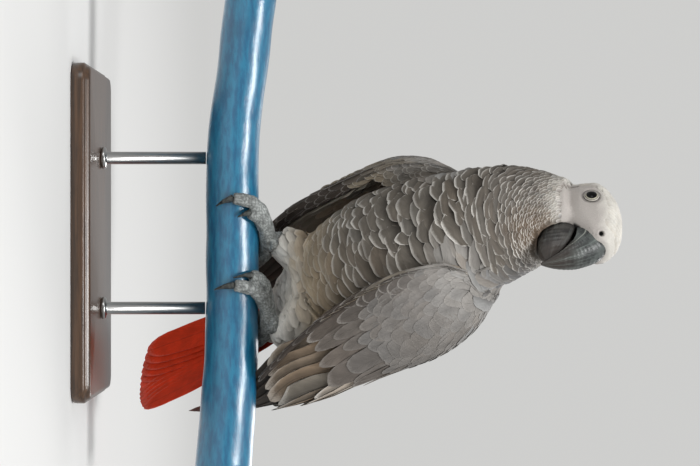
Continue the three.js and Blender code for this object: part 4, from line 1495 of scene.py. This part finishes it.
def lower_bill(paint):
    """The lower half, in upright rings from back to front."""
    ahead = np.linspace(LOWER_BILL[0][0], LOWER_BILL[-1][0], 56)
    half, rim, keel = (c[:, None] for c in along(LOWER_BILL, ahead).T)
    across, high, way = both_halves(LOWER_SECTION)
    up = (rim + keel) / 2 + (rim - keel) / 2 * high
    rings = np.stack(np.broadcast_arrays(half * across, -ahead[:, None], up), -1)
    horn_piece("beak_lower", rings, way, 30, "bill_lower", paint)


upper_bill(horn_paint("horn_upper", 0.5, 0.6, "2b2e2e", "4f5452"))
lower_bill(horn_paint("horn_lower", 0.0, 0.25, "252322", "403e3b"))


# ---- Eyes and claws ----


def eye_paint(name):
    """A black pupil, a pale iris and a dark rim, by the degrees from the pupil's middle over 90."""
    paint = Paint(f"eye_{name}", 0.06, Specular_IOR_Level=0.14)
    r = paint.value("ring")
    colour = paint.mix(paint.ranged(r, 0.42, 0.44), (0.002, 0.002, 0.002), rgb("a8a494"))
    return paint.done(paint.mix(paint.ranged(r, 0.5, 0.53), colour, rgb("2b2825")))


def eye(side, name):
    """An eyeball in its socket, its pole at the pupil."""
    steps, sides = 40, 64
    polar = np.linspace(0.02, math.pi - 0.02, steps)[:, None]
    a = angles(sides)[None]
    ball = np.stack([np.cos(polar) + 0 * a, np.sin(polar) * np.cos(a), np.sin(polar) * np.sin(a)], -1)
    ball = ball * EYE["radius"] * np.array([side, 1, 1])
    centre = np.array([side * EYE["aside"], -EYE["ahead"], EYE["above"]])
    points, faces = lofted(ball + centre)
    if side > 0:
        faces = [f[::-1] for f in faces]
    ring = np.concatenate([np.degrees(np.broadcast_to(polar, (steps, sides))).ravel(), [0, 180]]) / 90
    points, values = HEAD.out(points), {"ring": ring}
    built(f"eyeball_{name}", points, faces, eye_paint(name), "eye", (f"eye_{name}",), None, values)


def talon_paint():
    """Smooth dark horn."""
    paint = Paint("talon", 0.3, Specular_IOR_Level=0.5)
    place = paint.place()
    cloudy = paint.noise(place, 0.5, 4)
    colour = paint.mix(paint.ranged(cloudy, 0.35, 0.65), rgb("242625"), rgb("4a4d49"))
    return paint.done(colour, paint.noise(place, 2.0, 3), 0.06)


def talons():
    """The claws, one piece for each."""
    material = talon_paint()
    for name in [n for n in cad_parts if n.startswith("claw_")]:
        points, quads = remeshed(*node_mesh([name]), FINENESS["talon"], 3)
        built(name.replace("claw", "talon"), points, quads, material, "claw", (name,))


for side, name in SIDES:
    eye(side, name)
talons()


# ---- Branch and stand ----

BRANCH_LENGTH = 300
# Places along the branch, and there the rise of its middle and its radius.
BRANCH_SHAPE = (
    (-150, 11.6, 16.8),
    (-100, 5.6, 16.6),
    (-62, 0.8, 17),
    (0, 0, 17.2),
    (62, -0.4, 17.3),
    (100, -2, 17.9),
    (150, -5.9, 18.6),
)
BASE = {"width": 210, "depth": 150, "height": 12, "corner": 12}
BASE_EDGE = (  # the inset of the board's outline, and the height it has there
    (3.5, 0.0),
    (1.0, 0.3),
    (0.2, 1.5),
    (0, 3),
    (0, 7.5),
    (0.5, 8.3),
    (1.6, 8.8),
    (2.2, 9.6),
    (2.6, 10.8),
    (3.6, 11.7),
    (5.5, 12),
)
ROD = {"radius": 4, "apart": 96}
# The radius of a rod with its collar, and the height over the board.
COLLAR = ((6.5, 0), (7, 0.5), (7, 2.2), (6.4, 2.8), (4.6, 3.2), (ROD["radius"], 3.8))


def perch():
    """A cut length of a branch, painted a glossy blue, with its bumps showing through."""
    half = BRANCH_LENGTH / 2
    middle = np.linspace(-half + 1, half - 1, 160)
    x = np.concatenate([[-half, -half + 0.4], middle, [half - 0.4, half]])[:, None]
    inset = np.interp(half - np.abs(x), [0, 0.4, 1], [0.9, 0.3, 0])
    a = angles(96)[None]
    rise, radius = axes(along(BRANCH_SHAPE, x))
    knots = 0.25 * np.sin(x / 11 + 2 * np.sin(a)) * np.sin(2 * a + x / 23)
    knots = knots - 0.35 + 0.1 * np.sin(5 * a + x / 6)
    reach = radius - inset + knots
    up = BRANCH_HEIGHT + rise + reach * np.sin(a)
    points, faces = lofted(np.stack(np.broadcast_arrays(x, reach * np.cos(a), up), -1))
    cut = np.broadcast_to(np.abs(x) > half - 0.7, knots.shape)
    end = np.append(cut.ravel(), [1, 1]).astype(float)
    maps = {"OFBake": loft_map((x + half) / BRANCH_LENGTH, a / (2 * math.pi)) * 0.96 + 0.02}
    built("painted_branch", points, faces, perch_paint(), "perch_paint", ("perch",), maps, {"end": end})


def perch_paint():
    """Glossy blue paint with brush strokes and worn spots, and bare wood with its rings on the cut ends."""
    paint = Paint("painted", 0.3, Coat_Weight=1.0, Coat_Roughness=0.3)
    place = paint.place((0.25, 1, 1))
    stroke = paint.noise(place, 0.35, 5, 0.6)
    wide = paint.noise(paint.place(), 0.05, 3)
    colour = paint.mix(paint.ranged(stroke, 0.35, 0.65), rgb("0b5a80"), rgb("1a7699"))
    colour = paint.mix(paint.ranged(wide, 0.55, 0.75, 0, 0.35), colour, rgb("084669"))
    wear = paint.ranged(paint.noise(paint.place(), 0.5, 5, 0.7), 0.69, 0.73, 0, 0.6)
    colour = paint.mix(wear, colour, rgb("0d2c4d"))
    rings_of_wood = paint.math("SINE", paint.times(paint.noise(paint.place((0.01, 1, 1)), 0.12, 2), 60.0))
    wood = paint.mix(paint.ranged(rings_of_wood, -1, 1), rgb("b08d62"), rgb("8a6841"))
    colour = paint.mix(paint.value("end"), colour, wood)
    return paint.done(colour, paint.plus(stroke, paint.noise(paint.place(), 0.18, 3)), 0.3)


def circle(count):
    """Points round a circle of radius 1."""
    return np.stack([np.cos(angles(count)), np.sin(angles(count))], 1)


def risen(outlines, heights):
    """Level rings of points, lofted."""
    pairs = zip(outlines, heights)
    return lofted(np.array([np.column_stack([line, np.full(len(line), z)]) for line, z in pairs]))


def board_paint():
    """Dark varnished wood."""
    paint = Paint("board", 0.35, Coat_Weight=0.3, Coat_Roughness=0.2)
    grain = paint.noise(paint.place((0.05, 1, 1)), 0.5, 5, 0.6)
    return paint.done(paint.mix(paint.ranged(grain, 0.3, 0.7), rgb("33251a"), rgb("563d29")), grain, 0.08)


def board():
    """The stand's board, with a moulded edge and round corners."""
    w, d, r = BASE["width"] / 2, BASE["depth"] / 2, BASE["corner"]
    out = circle(96)
    corner = np.sign(out + 1e-9) * [w - r, d - r]
    points, faces = risen([corner + (r - inset) * out for inset, _ in BASE_EDGE], [z for _, z in BASE_EDGE])
    built("stand_board", points, faces, board_paint(), "stand_wood", ("stand_base",))


def steel_paint():
    """Brushed steel."""
    paint = Paint("steel", 0.28, Metallic=1.0)
    brushed = paint.noise(paint.place((1, 1, 0.1)), 0.6, 3)
    return paint.done(paint.mix(brushed, (0.4, 0.4, 0.39), (0.5, 0.5, 0.49)))


def rods():
    """Two steel rods that stand in the board with small collars and hold the branch."""
    metal = steel_paint()
    for side, name in SIDES:
        x = side * ROD["apart"] / 2
        rise, radius = along(BRANCH_SHAPE, np.array([x]))[0]
        top = BRANCH_HEIGHT + rise - radius - 0.2
        bottom = BASE["height"] + 0.3
        shape = (*COLLAR, (ROD["radius"], top - bottom))
        outlines = [[x, 0] + reach * circle(40) for reach, _ in shape]
        points, faces = risen(outlines, [bottom + z for _, z in shape])
        built(f"stand_post_{name}", points, faces, metal, "stand_steel", (f"stand_rod_{name}",))


perch()
board()
rods()


# ---- Camera, light and floor ----

# Here sizes are in metres, and the camera's sensor is in millimetres.
CAMERA = {"away": 1.7, "height": 0.1712, "seen": 0.448, "sensor": 36.0}
AIM = Vector((0, 0, 0.2))  # where the lamps point
LAMPS = (  # name, place, width and power in watts
    ("key", (0.12, -1.1, 1.9), 0.5, 25),
    ("fill", (0.8, -1.1, 1.4), 0.35, 6),
    ("back", (0.4, 1.4, 1.2), 0.8, 8),
    ("low", (-1.1, -1.2, 0.4), 0.7, 4.5),
)
SKY = {"colour": (0.78, 0.78, 0.78, 1), "strength": 0.55}


def camera():
    """The camera level with the bird, rolled a quarter turn as in the photo."""
    data = bpy.data.cameras.new("camera")
    data.sensor_width = CAMERA["sensor"]
    data.lens = CAMERA["sensor"] * CAMERA["away"] / CAMERA["seen"]
    made = added("camera", data)
    made.location = (0, -CAMERA["away"], CAMERA["height"])
    made.rotation_euler = Euler((math.radians(90), math.radians(-90), 0))
    bpy.context.scene.camera = made


def lamp(name, at, size, power):
    """A round lamp that shines on the bird."""
    data = bpy.data.lights.new(name, "AREA")
    data.shape = "DISK"
    data.size = size
    data.energy = power
    made = added(name, data)
    made.location = at
    made.rotation_euler = (AIM - Vector(at)).to_track_quat("-Z", "Y").to_euler()


FAR = (0.62, 0.62, 0.61)  # the backdrop
FLOOR_REACH = 6


def floor_paint():
    """A pale matt floor that passes into the backdrop's colour far from the part."""
    paint = Paint("floor", 0.9)
    here = paint.node("ShaderNodeTexCoord").outputs["Object"]
    away = paint.node("ShaderNodeVectorMath", {0: here}, operation="LENGTH").outputs["Value"]
    grain = paint.noise(paint.place(), 0.05, 2)
    paint.done(paint.mix(paint.ranged(grain, 0.3, 0.7, 0, 0.03), (0.72, 0.72, 0.71), (0.7, 0.7, 0.7)))
    glow = paint.node("ShaderNodeEmission", {"Color": FAR, "Strength": 1.0}).outputs[0]
    camera_ray = paint.node("ShaderNodeLightPath").outputs["Is Camera Ray"]
    share = paint.times(paint.ranged(away, 0.35, 1.6), camera_ray)
    both = paint.node("ShaderNodeMixShader", {0: share, 1: paint.shader.outputs[0], 2: glow}).outputs[0]
    paint.put(paint.tree.nodes["Material Output"], "Surface", both)
    return paint.material


def surroundings():
    """The floor, soft light from all round, and a plain backdrop that only the camera sees."""
    mesh = bpy.data.meshes.new("floor")
    corners = [(x * FLOOR_REACH, y * FLOOR_REACH, 0) for x, y in ((-1, -1), (1, -1), (1, 1), (-1, 1))]
    mesh.from_pydata(corners, [], [(0, 1, 2, 3)])
    mesh.materials.append(floor_paint())
    added("floor", mesh)
    world = bpy.data.worlds.new("studio")
    bpy.context.scene.world = world
    world.use_nodes = True
    nodes, links = world.node_tree.nodes, world.node_tree.links
    light = nodes["Background"]
    light.inputs["Color"].default_value = SKY["colour"]
    light.inputs["Strength"].default_value = SKY["strength"]
    seen = nodes.new("ShaderNodeBackground")
    seen.inputs["Color"].default_value = (*FAR, 1)
    which = nodes.new("ShaderNodeMixShader")
    links.new(nodes.new("ShaderNodeLightPath").outputs["Is Camera Ray"], which.inputs[0])
    links.new(light.outputs[0], which.inputs[1])
    links.new(seen.outputs[0], which.inputs[2])
    links.new(which.outputs[0], nodes["World Output"].inputs["Surface"])


camera()
for name, at, size, power in LAMPS:
    lamp(name, at, size, power)
surroundings()
bpy.context.scene.view_settings.view_transform = "Standard"
